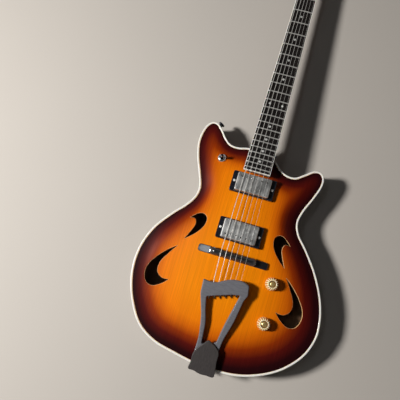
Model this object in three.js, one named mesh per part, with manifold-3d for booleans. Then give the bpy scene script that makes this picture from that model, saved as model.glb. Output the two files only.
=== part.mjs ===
import * as THREE from "three";
import { mergeVertices } from "three/addons/utils/BufferGeometryUtils.js";
import Module from "manifold-3d";

// Hollow thinline archtop guitar with two cutaways, lying on its back.
// Millimetres. +Z comes out of the top, +Y points to the headstock, +X to the treble side.
// The origin is on the flat crown of the back, under the bridge.

// Clearances shared by every joint
const glueGap = 0.3;
const runningGap = 0.3;
const cavityRoom = 1.2;
const overrun = 5;

// Sides of the round pieces and bores
const boreSides = 10;
const roundSides = 16;

// Body
const bodyLength = 487;
const bodyWidth = 390;
const rimDepth = 45;
const topRise = 16;
const backRise = 14;
const plateThickness = 4.5;
const sideThickness = 9;
const bindingWidth = 4;
const neckBlockLength = 48;
const neckBlockWidth = 70;
const tailBlockLength = 28;
const tailBlockWidth = 60;
const barSpacing = 104;
const barWidth = 7;
const barDepth = 14;
const barLengthShare = 0.66;

// Neck and fingerboard
const scaleLength = 628;
const neckTiltDeg = 2.2;
const boardHeight = 90;
const boardThickness = 6;
const boardRadius = 305;
const nutWidth = 43;
const lastFretWidth = 57;
const fretCount = 22;
const fretWidth = 2.4;
const fretHeight = 1;
const boardOverhang = 8;
const boardBinding = 1.8;
const nutLength = 5;
const neckDepth = 15.5;
const heelReach = 36;
const heelDepth = 58;
const heelWidthShare = 0.6;
const heelCapShare = 0.33;
const heelRootShare = 0.25;
const heelPower = 2.5;
const heelSteps = [0, 0.2, 0.45, 0.7, 0.88, 1];
const neckDepthShares = [1.25, 1.1, 1];
const neckPower = 0.8;
const neckSteps = 8;
const crownSteps = [-1, -0.4, 0.4, 1];
const tenonWidth = 36;
const tenonSetback = 9;
const tongueWidth = 40;
const rodRadius = 3;
const rodNutRadius = 4;
const rodNutLength = 10;
const rodBury = 1.8;
const rodReach = 16;

// Headstock and tuners
const headAngleDeg = 11;
const headLength = 176;
const headStartWidth = 46;
const headWidth = 78;
const headThickness = 14;
const headDrop = 4;
const veneerThickness = 2;
const rodPocketLength = 26;
const rodPocketWidth = 12;
const rodPocketSetback = 1.2;
const rodCoverWidth = 20.4;
const rodCoverLength = 32;
const rodCoverThickness = 1.8;
const tunerStart = 46;
const tunerPitch = 42;
const tunerInset = 15;
const postRadius = 3;
const postHeight = 14;
const tunerPlateWidth = 13;
const tunerPlateThickness = 1.2;
const gearTeeth = 15;
const gearRadius = 6.5;
const gearHeight = 4;
const toothDepth = 0.8;
const wormRadius = 2.8;
const wormLength = 9;
const wormShaftRadius = 1.8;
const buttonLength = 15;
const buttonRadius = 9;
const buttonThickness = 7;
const lugThickness = 2;
const lugWall = 1;
const buttonSides = 8;

// Strings, thinnest first
const stringRadii = [0.15, 0.2, 0.3, 0.41, 0.53, 0.66];
const stringCount = stringRadii.length;
const lastRank = stringCount - 1;
const tunersPerSide = stringCount / 2;
const nutSpacing = 7;
const bridgeSpacing = 10.3;
const tailSpacing = 10;
const bridgeShift = 1.5;
const tailShift = 3;
const windingTurns = 2;
const windingSteps = 9;
const stringSides = 5;
const windingGap = 0.5;
const windingHeight = 4;
const ballRadius = 1.9;
const ballLength = 4;

// Pickups
const coverLength = 70;
const coverWidth = 38.5;
const coverCorner = 3;
const pickupDepth = 23;
const pickupReveal = 7.5;
const stringClearance = 3.4;
const ringLength = 90;
const ringWidth = 44;
const ringFit = 0.7;
const pickupSpacingShare = 0.15924;
const pickupSetback = 4.9;
const earThickness = 1.5;
const earWidth = 12;
const earLength = 85;
const poleRadius = 2.2;
const poleHeight = 0.5;
const poleInset = 8;
const adjusterSpacing = 79;
const adjusterRadius = 1.3;
const adjusterHead = 2.4;
const adjusterHeadHeight = 1.6;
const adjusterSlope = 0.5;
const adjusterLength = 29;

// Bridge
const crestSetback = 9;
const baseLength = 142;
const baseWidth = 15;
const baseThickness = 5;
const baseBevel = 1.3;
const saddleLength = 91;
const saddleWidth = 13;
const saddleHeight = 9.4;
const saddleFoot = 4.7;
const saddleShoulder = 3.1;
const crestWidth = 3;
const saddleSteps = [1, 0.6, 0.2, -0.2, -0.6, -1];
const crestHeight = 94.5;
const studSpacing = 78;
const studRadius = 2;
const wheelRadius = 8;
const wheelThickness = 2.5;
const bridgeDrop = 2;
const bridgeLift = 2.5;

// Tailpiece
const tailWidth = 92;
const tailThickness = 8;
const tailBarHeight = 87;
const tailDrop = 34.95;
const capThickness = 4;
const lipWidth = 24;
const lipDepth = 44;
const buttonShank = 3;
const strapFlange = 6.5;
const strapLength = 11;
const strapProfileShares = [
  [1, 0], [1, 0.15], [0.615, 0.4], [0.615, 0.6], [1.154, 0.85], [1.154, 1],
];
const strapHeight = 36;
const strapScrew = 14;

// Controls
const knobRadius = 13;
const knobHeight = 14.5;
const knobLift = 1.6;
const knobFluteDepth = 0.8;
const knobRecess = 7.2;
const knobRecessDepth = 5;
const knobDish = 1.6;
const knobSkirt = 2.2;
const knobTopShares = [0.88, 0.8, 0.5, 0.45];
const knobSides = 16;
const potRadius = 8.5;
const potHeight = 9;
const potBushRadius = 4.7;
const potShaftRadius = 3;
const switchBushRadius = 6;
const switchNutRadius = 9;
const switchNutHeight = 3.5;
const switchNutLift = 1.4;
const switchNutBevel = 1.8;
const switchCanRadius = 8;
const switchCanDepth = 26;
const leverRadius = 1.5;
const leverBallRadius = 3;
const leverTipRadius = 3.4;
const leverTipLength = 11;
const leverHeight = 17;
const ballShare = 0.7;
const leverThrowDeg = 13;
const jackBore = 3.35;
const jackSleeve = 6;
const jackFlange = 9.5;
const jackFlangeThickness = 1.9;
const jackFloor = 3;
const jackDepth = 26;

// Places in the body's outline, from the bass side of the neck joint round the bass horn:
// shares of half the body width, and of the body length from the bridge line
const outlineShares = [
  [-0.144, 0.456], [-0.256, 0.447], [-0.349, 0.45], [-0.421, 0.472], [-0.487, 0.505],
  [-0.549, 0.527], [-0.61, 0.53], [-0.667, 0.509], [-0.7, 0.466], [-0.703, 0.417],
  [-0.667, 0.357], [-0.6, 0.29], [-0.551, 0.232], [-0.564, 0.187], [-0.631, 0.142],
  [-0.754, 0.086], [-0.882, 0.014], [-0.956, -0.062], [-0.979, -0.144], [-0.949, -0.226],
  [-0.864, -0.31], [-0.723, -0.388], [-0.528, -0.433], [-0.308, -0.452], [-0.077, -0.466],
  [0.159, -0.469], [0.385, -0.458], [0.595, -0.428], [0.779, -0.382], [0.933, -0.314],
  [1.013, -0.236], [1.015, -0.16], [0.964, -0.078], [0.856, 0.012], [0.713, 0.094],
  [0.605, 0.146], [0.559, 0.195], [0.585, 0.248], [0.651, 0.31], [0.703, 0.37],
  [0.703, 0.411], [0.651, 0.434], [0.579, 0.431], [0.497, 0.407], [0.41, 0.383],
  [0.318, 0.383], [0.236, 0.401], [0.154, 0.431], [0.01, 0.446],
];
const outlineCount = 74;
const hornTipIndex = 5;
const archCentreShare = 0.041;
const neckJointShare = 0.446;

// Each sound hole is an outer and an inner edge that meet in two points, in shares of half the
// body width and of the body length; the treble pair mirrors these
const upperHoleShares = {
  outer: [[0.538, 0.09], [0.467, 0.115], [0.405, 0.12], [0.362, 0.103], [0.372, 0.068],
    [0.436, 0.031], [0.533, -0.004]],
  inner: [[0.533, -0.004], [0.492, 0.031], [0.462, 0.065], [0.479, 0.089], [0.538, 0.09]],
};
const lowerHoleShares = {
  outer: [[0.574, -0.037], [0.659, -0.064], [0.746, -0.101], [0.81, -0.14], [0.828, -0.177],
    [0.79, -0.214], [0.715, -0.224], [0.631, -0.207], [0.562, -0.181]],
  inner: [[0.562, -0.181], [0.638, -0.182], [0.7, -0.162], [0.705, -0.126], [0.649, -0.082],
    [0.574, -0.037]],
};
const holeStepsPerSpan = 2;

// The plates are meshed in rings; each share is a ring's distance from the centre to the edge
const topRingShares = [0.35, 0.65, 0.87, 1];
const innerRingShares = [0.6, 1];
const backRingShares = [0.22, 0.55, 0.84, 1];

// The arch is a dome over an oval, in shares of half the body width and of the body length,
// that sweeps down to the edge over a band; the dome of the back is flat in the middle
const domeShares = [1.03, 0.52];
const domePower = 1.35;
const backFlatShare = 0.27;
const sweepWidth = 35;

// Places of the controls, in shares of half the body width and of the body length
const knobShares = [[0.451, -0.078], [0.477, -0.236]];
const switchShares = [-0.4, 0.376];

// Tailpiece outlines, in shares of the tailpiece width and of the bridge to tail distance
const tailSpan = -outlineShares[25][1] * bodyLength;
const frameOuterShares = [
  [-0.457, -0.289], [-0.304, -0.294], [-0.163, -0.285], [-0.022, -0.254], [0.098, -0.232],
  [0.25, -0.219], [0.38, -0.219], [0.5, -0.237], [0.533, -0.32], [0.478, -0.364],
  [0.446, -0.447], [0.402, -0.557], [0.337, -0.658], [0.283, -0.75], [0.25, -0.9],
  [-0.228, -0.9], [-0.222, -0.77], [-0.25, -0.684], [-0.293, -0.592], [-0.359, -0.504],
  [-0.435, -0.412], [-0.446, -0.368],
];
const frameInnerShares = [
  [-0.293, -0.421], [-0.12, -0.395], [0.033, -0.373], [0.185, -0.351], [0.37, -0.333],
  [0.348, -0.382], [0.283, -0.496], [0.217, -0.623], [0.163, -0.763], [-0.12, -0.807],
  [-0.136, -0.74], [-0.163, -0.629], [-0.239, -0.518],
];
const capShares = [
  [0, -0.759], [-0.098, -0.803], [-0.196, -0.855], [-0.239, -0.899], [-0.239, -0.965],
  [-0.25, -1.026], [-0.13, -1.03], [0.011, -1.042], [0.141, -1.039], [0.3, -1.035],
  [0.304, -0.982], [0.283, -0.912], [0.272, -0.833], [0.185, -0.794], [0.087, -0.772],
];

// Headstock outline on one side, in shares of half its width and of its length
const headSideShares = [[0.86, 0.1], [0.96, 0.2], [0.98, 0.45], [1, 0.86], [0.94, 0.93]];
const headCrestShares = [[0.6, 0.975], [0, 1]];

// Truss rod cover on one side, in shares of half its width and of its length
const rodCoverShares = [[1, 0.01], [1, 0.5], [0.66, 0.75], [0.5, 0.92], [0.2, 1]];

// Tuner button sections: shares of the button's length and of its width
const buttonShares = [[0, 0.35], [0.12, 0.75], [0.4, 1], [0.75, 0.95], [1, 0.5]];

// Worked out places
const degree = Math.PI / 180;
const neckTilt = neckTiltDeg * degree;
const halfBody = bodyWidth / 2;
const backEdgeZ = backRise;
const topEdgeZ = backEdgeZ + rimDepth;
const topCrownZ = topEdgeZ + topRise;
const neckJointY = neckJointShare * bodyLength;
const tailEdgeY = -tailSpan;
const tailTilt = Math.atan2(tailDrop, tailSpan);
const archCentre = [0, archCentreShare * bodyLength];
const lastFretY = scaleLength * 2 ** (-fretCount / 12);
const boardEndY = lastFretY - boardOverhang;
const boardTaper = (lastFretWidth - nutWidth) / 2 / (scaleLength - lastFretY);
const crestY = -crestSetback;

// Geometry helpers

function signedVolume(geometry) {
  const position = geometry.attributes.position;
  const index = geometry.index;
  const a = new THREE.Vector3();
  const b = new THREE.Vector3();
  const c = new THREE.Vector3();
  let volume = 0;
  for (let i = 0; i < index.count; i += 3) {
    a.fromBufferAttribute(position, index.getX(i));
    b.fromBufferAttribute(position, index.getX(i + 1));
    c.fromBufferAttribute(position, index.getX(i + 2));
    volume += a.dot(b.cross(c));
  }
  return volume;
}

// Merge shared vertices, drop triangles that have no area and turn the faces outwards
function closed(geometry) {
  const bare = geometry.clone();
  bare.deleteAttribute("normal");
  bare.deleteAttribute("uv");
  const merged = mergeVertices(bare);
  const kept = [];
  for (let i = 0; i < merged.index.count; i += 3) {
    const [a, b, c] = [0, 1, 2].map((k) => merged.index.getX(i + k));
    if (a !== b && b !== c && c !== a) kept.push(a, b, c);
  }
  merged.setIndex(kept);
  if (signedVolume(merged) < 0) {
    for (let i = 0; i < kept.length; i += 3) [kept[i], kept[i + 1]] = [kept[i + 1], kept[i]];
    merged.setIndex(kept);
  }
  return merged;
}

const wasm = await Module();
wasm.setup();

function solid(geometry) {
  const shape = closed(geometry);
  return new wasm.Manifold(new wasm.Mesh({
    numProp: 3,
    vertProperties: new Float32Array(shape.attributes.position.array),
    triVerts: new Uint32Array(shape.index.array),
  }));
}

function geometryOf(manifold) {
  const mesh = manifold.getMesh();
  const geometry = new THREE.BufferGeometry();
  geometry.setAttribute("position", new THREE.BufferAttribute(mesh.vertProperties, 3));
  geometry.setIndex(new THREE.BufferAttribute(mesh.triVerts, 1));
  return geometry;
}

function moved(manifold, matrix) {
  return manifold.transform(matrix.elements);
}

function union(manifolds) {
  return manifolds.reduce((whole, piece) => whole.add(piece));
}

// A skin through loops of equally many points; a loop of one point is a pole
function loft(loops, ringClosed = false) {
  const points = loops.flat();
  const starts = [];
  let total = 0;
  for (const loop of loops) {
    starts.push(total);
    total += loop.length;
  }
  const index = [];
  const pairs = ringClosed ? loops.length : loops.length - 1;
  for (let k = 0; k < pairs; k += 1) {
    const next = (k + 1) % loops.length;
    const count = Math.max(loops[k].length, loops[next].length);
    const at = (loop, i) => starts[loop] + (loops[loop].length === 1 ? 0 : i % count);
    for (let i = 0; i < count; i += 1) {
      const [a, b, c, d] = [at(k, i), at(k, i + 1), at(next, i + 1), at(next, i)];
      if (a !== b) index.push(a, b, c);
      if (c !== d) index.push(a, c, d);
    }
  }
  const geometry = new THREE.BufferGeometry();
  geometry.setAttribute("position", new THREE.Float32BufferAttribute(points.flat(), 3));
  geometry.setIndex(index);
  return closed(geometry);
}

function middle(loop) {
  return [0, 1, 2].map((k) => loop.reduce((sum, point) => sum + point[k], 0) / loop.length);
}

// A loft with a pole in the middle of each end
function capped(loops) {
  return loft([[middle(loops[0])], ...loops, [middle(loops[loops.length - 1])]]);
}

function box(x0, x1, y0, y1, z0, z1) {
  const geometry = new THREE.BoxGeometry(x1 - x0, y1 - y0, z1 - z0);
  geometry.translate((x0 + x1) / 2, (y0 + y1) / 2, (z0 + z1) / 2);
  return geometry;
}

// Points as vectors, counter-clockwise for an outline and clockwise for a hole in it
function vectors(points, counterClockwise) {
  const list = points.map(([x, y]) => new THREE.Vector2(x, y));
  return THREE.ShapeUtils.area(list) > 0 === counterClockwise ? list : list.reverse();
}

function shapeOf(points, holes = []) {
  const shape = new THREE.Shape(vectors(points, true));
  for (const hole of holes) shape.holes.push(new THREE.Path(vectors(hole, false)));
  return shape;
}

// A flat outline raised from z0 to z1
function prism(points, z0, z1, holes = []) {
  const options = { depth: z1 - z0, bevelEnabled: false };
  const geometry = new THREE.ExtrudeGeometry(shapeOf(points, holes), options);
  geometry.translate(0, 0, z0);
  return geometry;
}

// A profile of [radius, height] pairs turned about Z
function turned(profile, sides) {
  const points = profile.map(([radius, height]) => new THREE.Vector2(radius, height));
  const geometry = new THREE.LatheGeometry(points, sides);
  geometry.rotateX(Math.PI / 2);
  return geometry;
}

function rod(radius, z0, z1, sides) {
  return turned([[0, z0], [radius, z0], [radius, z1], [0, z1]], sides);
}

// The radius of a many-sided hole whose flats clear a round of the given radius
function holeRadius(radius, clearance, sides) {
  return (radius + clearance) / Math.cos(Math.PI / sides);
}

function roundedRectangle(length, width, corner, cornerSteps = 2) {
  const points = [];
  for (let quarter = 0; quarter < 4; quarter += 1) {
    const sx = quarter === 0 || quarter === 3 ? 1 : -1;
    const sy = quarter < 2 ? 1 : -1;
    for (let step = 0; step <= cornerSteps; step += 1) {
      const angle = (quarter + step / cornerSteps) * Math.PI / 2;
      points.push([
        sx * (length / 2 - corner) + corner * Math.cos(angle),
        sy * (width / 2 - corner) + corner * Math.sin(angle),
      ]);
    }
  }
  return points;
}

// A tube of given radii along points, closed at both ends
function tube(points, radii, sides) {
  const rings = [];
  let side = new THREE.Vector3(1, 0, 0);
  const direction = (i) => {
    for (let j = i; j < points.length - 1; j += 1) {
      const step = points[j + 1].clone().sub(points[j]);
      if (step.lengthSq() > 0) return step.normalize();
    }
    return points[points.length - 1].clone().sub(points[points.length - 2]).normalize();
  };
  points.forEach((point, i) => {
    const before = i === 0 ? direction(0) : direction(i - 1);
    const along = direction(i).add(before).normalize();
    side = side.clone().sub(along.clone().multiplyScalar(side.dot(along))).normalize();
    const up = along.clone().cross(side);
    const ring = [];
    for (let k = 0; k < sides; k += 1) {
      const angle = 2 * Math.PI * k / sides;
      const offset = side.clone().multiplyScalar(radii[i] * Math.cos(angle))
        .add(up.clone().multiplyScalar(radii[i] * Math.sin(angle)));
      ring.push(point.clone().add(offset).toArray());
    }
    rings.push(ring);
  });
  return loft([[points[0].toArray()], ...rings, [points[points.length - 1].toArray()]]);
}

// Body outline and its arched surfaces

function bodyPoint([xShare, yShare]) {
  return [xShare * halfBody, yShare * bodyLength];
}

const outlineCurve = new THREE.CatmullRomCurve3(
  outlineShares.map((share) => new THREE.Vector3(...bodyPoint(share), 0)),
  true,
  "catmullrom",
  0.5,
);
const outline = Array.from({ length: outlineCount }, (_, i) => {
  const point = outlineCurve.getPoint(i / outlineCount);
  return [point.x, point.y];
});

// The outline moved outwards by a distance, or inwards by a negative one
function offsetOutline(distance) {
  return outline.map(([x, y], i) => {
    const before = outline[(i + outline.length - 1) % outline.length];
    const after = outline[(i + 1) % outline.length];
    const length = Math.hypot(after[0] - before[0], after[1] - before[1]);
    return [
      x + distance * (after[1] - before[1]) / length,
      y - distance * (after[0] - before[0]) / length,
    ];
  });
}

const plateOutline = offsetOutline(-bindingWidth - glueGap);
const innerOutline = offsetOutline(-sideThickness);

// The distance from a point to the plate's edge
function edgeDistance(x, y) {
  let least = Infinity;
  plateOutline.forEach(([ax, ay], i) => {
    const [bx, by] = plateOutline[(i + 1) % plateOutline.length];
    const [ex, ey] = [bx - ax, by - ay];
    const along = ((x - ax) * ex + (y - ay) * ey) / (ex * ex + ey * ey);
    const share = Math.min(1, Math.max(0, along));
    least = Math.min(least, Math.hypot(x - ax - share * ex, y - ay - share * ey));
  });
  return least;
}

// The arch's share of its full rise at a point: 1 at the crown and 0 at the edge
function archShare(x, y, flatShare) {
  const across = x / (domeShares[0] * halfBody);
  const along = (y - archCentre[1]) / (domeShares[1] * bodyLength);
  const slope = Math.max(0, Math.hypot(across, along) - flatShare) / (1 - flatShare);
  const dome = Math.max(0, 1 - slope ** 2) ** domePower;
  const sweep = Math.min(1, edgeDistance(x, y) / sweepWidth);
  return dome * sweep ** 2 * (3 - 2 * sweep);
}

function topHeight(x, y) {
  return topEdgeZ + topRise * archShare(x, y, 0);
}

function backHeight(x, y) {
  return backEdgeZ - backRise * archShare(x, y, backFlatShare);
}

// Rings of one arched surface from the centre outwards, raised by a lift
function archRings(height, shares, lift) {
  const [cx, cy] = archCentre;
  const lifted = (x, y) => [x, y, height(x, y) + lift];
  const ring = (share) => plateOutline.map(
    ([x, y]) => lifted(cx + (x - cx) * share, cy + (y - cy) * share),
  );
  return [[lifted(cx, cy)], ...shares.map(ring)];
}

function flatRing(points, z) {
  return points.map(([x, y]) => [x, y, z]);
}

const group = new THREE.Group();

function addTo(parent, name, geometry, finish) {
  const material = new THREE.MeshStandardMaterial({ ...finish, flatShading: true });
  const mesh = new THREE.Mesh(closed(geometry), material);
  mesh.name = name;
  parent.add(mesh);
  return mesh;
}

const lacquer = { color: 0xd9741a, roughness: 0.15, metalness: 0 };
const backLacquer = { color: 0x5a1c12, roughness: 0.15, metalness: 0 };
const cream = { color: 0xe9dfcc, roughness: 0.35, metalness: 0 };
const spruce = { color: 0xc9a36b, roughness: 0.7, metalness: 0 };
const mahogany = { color: 0x4a1d12, roughness: 0.25, metalness: 0 };
const ebony = { color: 0x1d1a1b, roughness: 0.4, metalness: 0 };
const greyEbony = { color: 0x4a494d, roughness: 0.45, metalness: 0 };
const nickel = { color: 0xb9b7b2, roughness: 0.25, metalness: 1 };
const steel = { color: 0xc8c4bc, roughness: 0.3, metalness: 1 };
const bone = { color: 0xe8dfc8, roughness: 0.4, metalness: 0 };
const blackPlastic = { color: 0x0e1116, roughness: 0.25, metalness: 0 };
const amber = { color: 0xe0b050, roughness: 0.2, metalness: 0 };

// Frames of the neck, the headstock and the tailpiece

const neckGroup = new THREE.Group();
neckGroup.position.set(0, 0, boardHeight);
neckGroup.rotation.x = -neckTilt;
group.add(neckGroup);

const headGroup = new THREE.Group();
headGroup.position.set(0, scaleLength + nutLength + 2 * glueGap, -headDrop);
headGroup.rotation.x = -headAngleDeg * degree;
neckGroup.add(headGroup);

const tailGroup = new THREE.Group();
const tailFrontY = frameOuterShares[0][1] * tailSpan;
tailGroup.position.set(0, tailFrontY, tailBarHeight);
tailGroup.rotation.x = tailTilt;
group.add(tailGroup);

group.updateMatrixWorld(true);
const fromNeck = neckGroup.matrixWorld;
const toNeck = fromNeck.clone().invert();
const fromHead = headGroup.matrixWorld;
const headInNeck = headGroup.matrix;
const fromTail = tailGroup.matrixWorld;

// Solids that other pieces are cut by

// The outside of the closed body, one glue gap larger
const envelope = union([
  solid(loft([
    ...archRings(topHeight, topRingShares, glueGap),
    ...archRings(backHeight, backRingShares, -glueGap).reverse(),
  ])),
  solid(prism(offsetOutline(glueGap), backEdgeZ - glueGap, topEdgeZ + glueGap)),
]);

// The air inside the closed body, one glue gap smaller
const interior = solid(loft([
  ...archRings(backHeight, innerRingShares, plateThickness + glueGap),
  ...archRings(topHeight, innerRingShares, -plateThickness - glueGap).reverse(),
])).intersect(solid(prism(
  offsetOutline(-sideThickness - glueGap),
  -overrun,
  topCrownZ + overrun,
)));

const neckTopZ = -boardThickness - glueGap;
const tenonBackY = boardEndY + tenonSetback;
const shaftStartY = neckJointY + heelReach * heelRootShare;

function tenon(clearance) {
  return solid(box(
    -tenonWidth / 2 - clearance,
    tenonWidth / 2 + clearance,
    tenonBackY - clearance,
    shaftStartY,
    neckTopZ - heelDepth + overrun - clearance,
    neckTopZ - boardThickness,
  ));
}

// Pickups: places along the strings, and the space each one needs in the top

const stringSlope = {
  nut: fretHeight + runningGap,
  bridge: crestHeight - boardHeight - crestY * Math.sin(neckTilt) + glueGap,
};

function stringHeightAt(y) {
  const share = (scaleLength - y) / (scaleLength - crestY);
  return stringSlope.nut + (stringSlope.bridge - stringSlope.nut) * share;
}

const neckPickupY = boardEndY - ringWidth / 2 - pickupSetback;
const pickups = [
  { name: "neck", y: neckPickupY },
  { name: "bridge", y: neckPickupY - pickupSpacingShare * scaleLength },
].map(({ name, y }) => ({ name, y, top: stringHeightAt(y) - stringClearance }));

function pickupCavity({ y, top }) {
  const body = box(
    -coverLength / 2 - cavityRoom,
    coverLength / 2 + cavityRoom,
    y - coverWidth / 2 - cavityRoom,
    y + coverWidth / 2 + cavityRoom,
    top - 2 * pickupDepth,
    top,
  );
  const ears = box(
    -earLength / 2 - runningGap,
    earLength / 2 + runningGap,
    y - earWidth / 2 - cavityRoom,
    y + earWidth / 2 + cavityRoom,
    top - 2 * pickupDepth,
    top,
  );
  return union([solid(body), solid(ears)]);
}

const pickupCavities = moved(union(pickups.map(pickupCavity)), fromNeck);

// Controls: places on the top

const knobs = knobShares.map(bodyPoint).map(([x, y]) => ({ x, y, z: topHeight(x, y) }));
const switchPlace = bodyPoint(switchShares);
const switchZ = topHeight(...switchPlace);
const widest = outline.reduce((best, point) => (point[0] > best[0] ? point : best));
const jackY = widest[1];
const jackX = widest[0];
const jackZ = (backEdgeZ + topEdgeZ) / 2;

function controlHole(x, y, radius) {
  const reach = holeRadius(radius, runningGap, roundSides);
  return solid(rod(reach, backEdgeZ, topCrownZ + overrun, roundSides).translate(x, y, 0));
}

// Body

function soundHole({ outer, inner }, side) {
  const edge = (shares) => new THREE.SplineCurve(
    shares.map((share) => new THREE.Vector2(...bodyPoint(share))),
  ).getPoints((shares.length - 1) * holeStepsPerSpan).slice(0, -1);
  const points = [...edge(outer), ...edge(inner)].map(({ x, y }) => [side * x, y]);
  if (side < 0) points.reverse();
  return solid(prism(points, topEdgeZ - plateThickness - overrun, topCrownZ + overrun));
}

const soundHoles = union([-1, 1].flatMap(
  (side) => [upperHoleShares, lowerHoleShares].map((hole) => soundHole(hole, side)),
));

const topPlate = solid(loft([
  ...archRings(topHeight, topRingShares, 0),
  ...archRings(topHeight, innerRingShares, -plateThickness).reverse(),
]));
const topCuts = union([
  soundHoles,
  pickupCavities,
  moved(tenon(glueGap), fromNeck),
  ...knobs.map(({ x, y }) => controlHole(x, y, potBushRadius)),
  controlHole(...switchPlace, switchBushRadius),
]);
addTo(group, "top_plate", geometryOf(topPlate.subtract(topCuts)), lacquer);

addTo(group, "back_plate", loft([
  ...archRings(backHeight, innerRingShares, plateThickness),
  ...archRings(backHeight, backRingShares, 0).reverse(),
]), backLacquer);

function bindingRing(z0, z1) {
  const inside = offsetOutline(-bindingWidth);
  return loft([
    flatRing(outline, z0), flatRing(outline, z1), flatRing(inside, z1), flatRing(inside, z0),
  ], true);
}

const topBinding = solid(bindingRing(topEdgeZ - plateThickness, topEdgeZ))
  .subtract(moved(tenon(glueGap), fromNeck));
addTo(group, "top_binding", geometryOf(topBinding), cream);
addTo(group, "back_binding", bindingRing(backEdgeZ, backEdgeZ + plateThickness), cream);

const rimBottomZ = backEdgeZ + plateThickness + glueGap;
const rimTopZ = topEdgeZ - plateThickness - glueGap;
const buttonTurn = new THREE.Matrix4().makeRotationX(Math.PI / 2);

// A frame on the rim whose Z points outwards, for a strap button
function buttonPlace(x, y, normalAngle) {
  const turn = new THREE.Matrix4().makeRotationZ(normalAngle + Math.PI / 2);
  const place = new THREE.Matrix4().makeTranslation(x, y, strapHeight);
  return place.multiply(turn).multiply(buttonTurn);
}

const lipInnerY = tailEdgeY - glueGap;
const lipOuterY = lipInnerY - capThickness;
const endButtonPlace = buttonPlace(0, lipOuterY - glueGap, -Math.PI / 2);

const hornPoint = bodyPoint(outlineShares[hornTipIndex]);
const hornBefore = bodyPoint(outlineShares[hornTipIndex - 1]);
const hornAfter = bodyPoint(outlineShares[hornTipIndex + 1]);
const hornNormal = Math.atan2(-(hornAfter[0] - hornBefore[0]), hornAfter[1] - hornBefore[1]);
const hornButtonPlace = buttonPlace(
  hornPoint[0] + glueGap * Math.cos(hornNormal),
  hornPoint[1] + glueGap * Math.sin(hornNormal),
  hornNormal,
);

function screwBore(place, depth) {
  const radius = holeRadius(buttonShank, glueGap, boreSides);
  return moved(solid(rod(radius, -depth, overrun, boreSides)), place);
}

const endScrewDepth = strapScrew + capThickness + 2 * glueGap;
const jackPlace = new THREE.Matrix4().makeTranslation(jackX, jackY, jackZ)
  .multiply(new THREE.Matrix4().makeRotationY(Math.PI / 2));
const jackHole = moved(
  solid(rod(
    holeRadius(jackSleeve, glueGap, roundSides), -sideThickness - overrun, overrun, roundSides,
  )),
  jackPlace,
);

const rim = solid(loft([
  flatRing(outline, rimBottomZ), flatRing(outline, rimTopZ),
  flatRing(innerOutline, rimTopZ), flatRing(innerOutline, rimBottomZ),
], true))
  .subtract(moved(tenon(glueGap), fromNeck))
  .subtract(screwBore(endButtonPlace, endScrewDepth + overrun))
  .subtract(screwBore(hornButtonPlace, strapScrew + overrun))
  .subtract(jackHole);
addTo(group, "rim", geometryOf(rim), backLacquer);

const neckBlock = interior
  .intersect(solid(box(
    -neckBlockWidth / 2, neckBlockWidth / 2, neckJointY - neckBlockLength, neckJointY,
    0, topCrownZ,
  )))
  .subtract(moved(tenon(glueGap), fromNeck))
  .subtract(pickupCavities);
addTo(group, "neck_block", geometryOf(neckBlock), spruce);

const tailBlock = interior
  .intersect(solid(box(
    -tailBlockWidth / 2, tailBlockWidth / 2, tailEdgeY, tailEdgeY + sideThickness + tailBlockLength,
    0, topCrownZ,
  )))
  .subtract(screwBore(endButtonPlace, endScrewDepth + overrun));
addTo(group, "tail_block", geometryOf(tailBlock), spruce);

for (const [name, side] of [["bass_tone_bar", -1], ["treble_tone_bar", 1]]) {
  const centre = side * barSpacing / 2;
  const half = barLengthShare * bodyLength / 2;
  const bar = interior.intersect(solid(box(
    centre - barWidth / 2, centre + barWidth / 2, archCentre[1] - half, archCentre[1] + half,
    topEdgeZ - barDepth + plateThickness, topCrownZ,
  )));
  addTo(group, name, geometryOf(bar), spruce);
}

// Neck

function boardHalfWidth(y) {
  return nutWidth / 2 + boardTaper * (scaleLength - y);
}

// A drop below the middle of a surface with the fingerboard's radius
function crownDrop(x) {
  return x * x / (2 * boardRadius);
}

function boardLoop(y) {
  const half = boardHalfWidth(y) - boardBinding - glueGap;
  const top = crownSteps.map((share) => [share * half, y, -crownDrop(share * half)]);
  return [...top, [half, y, -boardThickness], [-half, y, -boardThickness]];
}

function fret(number) {
  const y = scaleLength * 2 ** (-number / 12);
  const half = boardHalfWidth(y) - boardBinding - 2 * glueGap;
  const loops = crownSteps.map((share) => {
    const x = share * half;
    const z = -crownDrop(x);
    return [
      [x, y - fretWidth / 2, z - fretHeight / 2], [x, y - fretWidth / 4, z + fretHeight],
      [x, y + fretWidth / 4, z + fretHeight], [x, y + fretWidth / 2, z - fretHeight / 2],
    ];
  });
  return solid(capped(loops));
}

const boardBody = solid(capped([
  boardLoop(boardEndY + boardBinding + glueGap),
  boardLoop(scaleLength - glueGap),
]));
const frets = Array.from({ length: fretCount }, (_, i) => fret(i + 1));
addTo(neckGroup, "fingerboard", geometryOf(union([boardBody, ...frets])), ebony);

const boardEdgeTop = -crownDrop(boardHalfWidth((boardEndY + scaleLength) / 2));
const [endHalf, nutHalf] = [boardHalfWidth(boardEndY), boardHalfWidth(scaleLength)];
const bindingShape = [
  [-nutHalf, scaleLength - glueGap], [-endHalf, boardEndY], [endHalf, boardEndY],
  [nutHalf, scaleLength - glueGap], [nutHalf - boardBinding, scaleLength - glueGap],
  [endHalf - boardBinding, boardEndY + boardBinding],
  [-endHalf + boardBinding, boardEndY + boardBinding],
  [-nutHalf + boardBinding, scaleLength - glueGap],
];
addTo(neckGroup, "fingerboard_binding", prism(bindingShape, -boardThickness, boardEdgeTop), cream);

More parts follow.
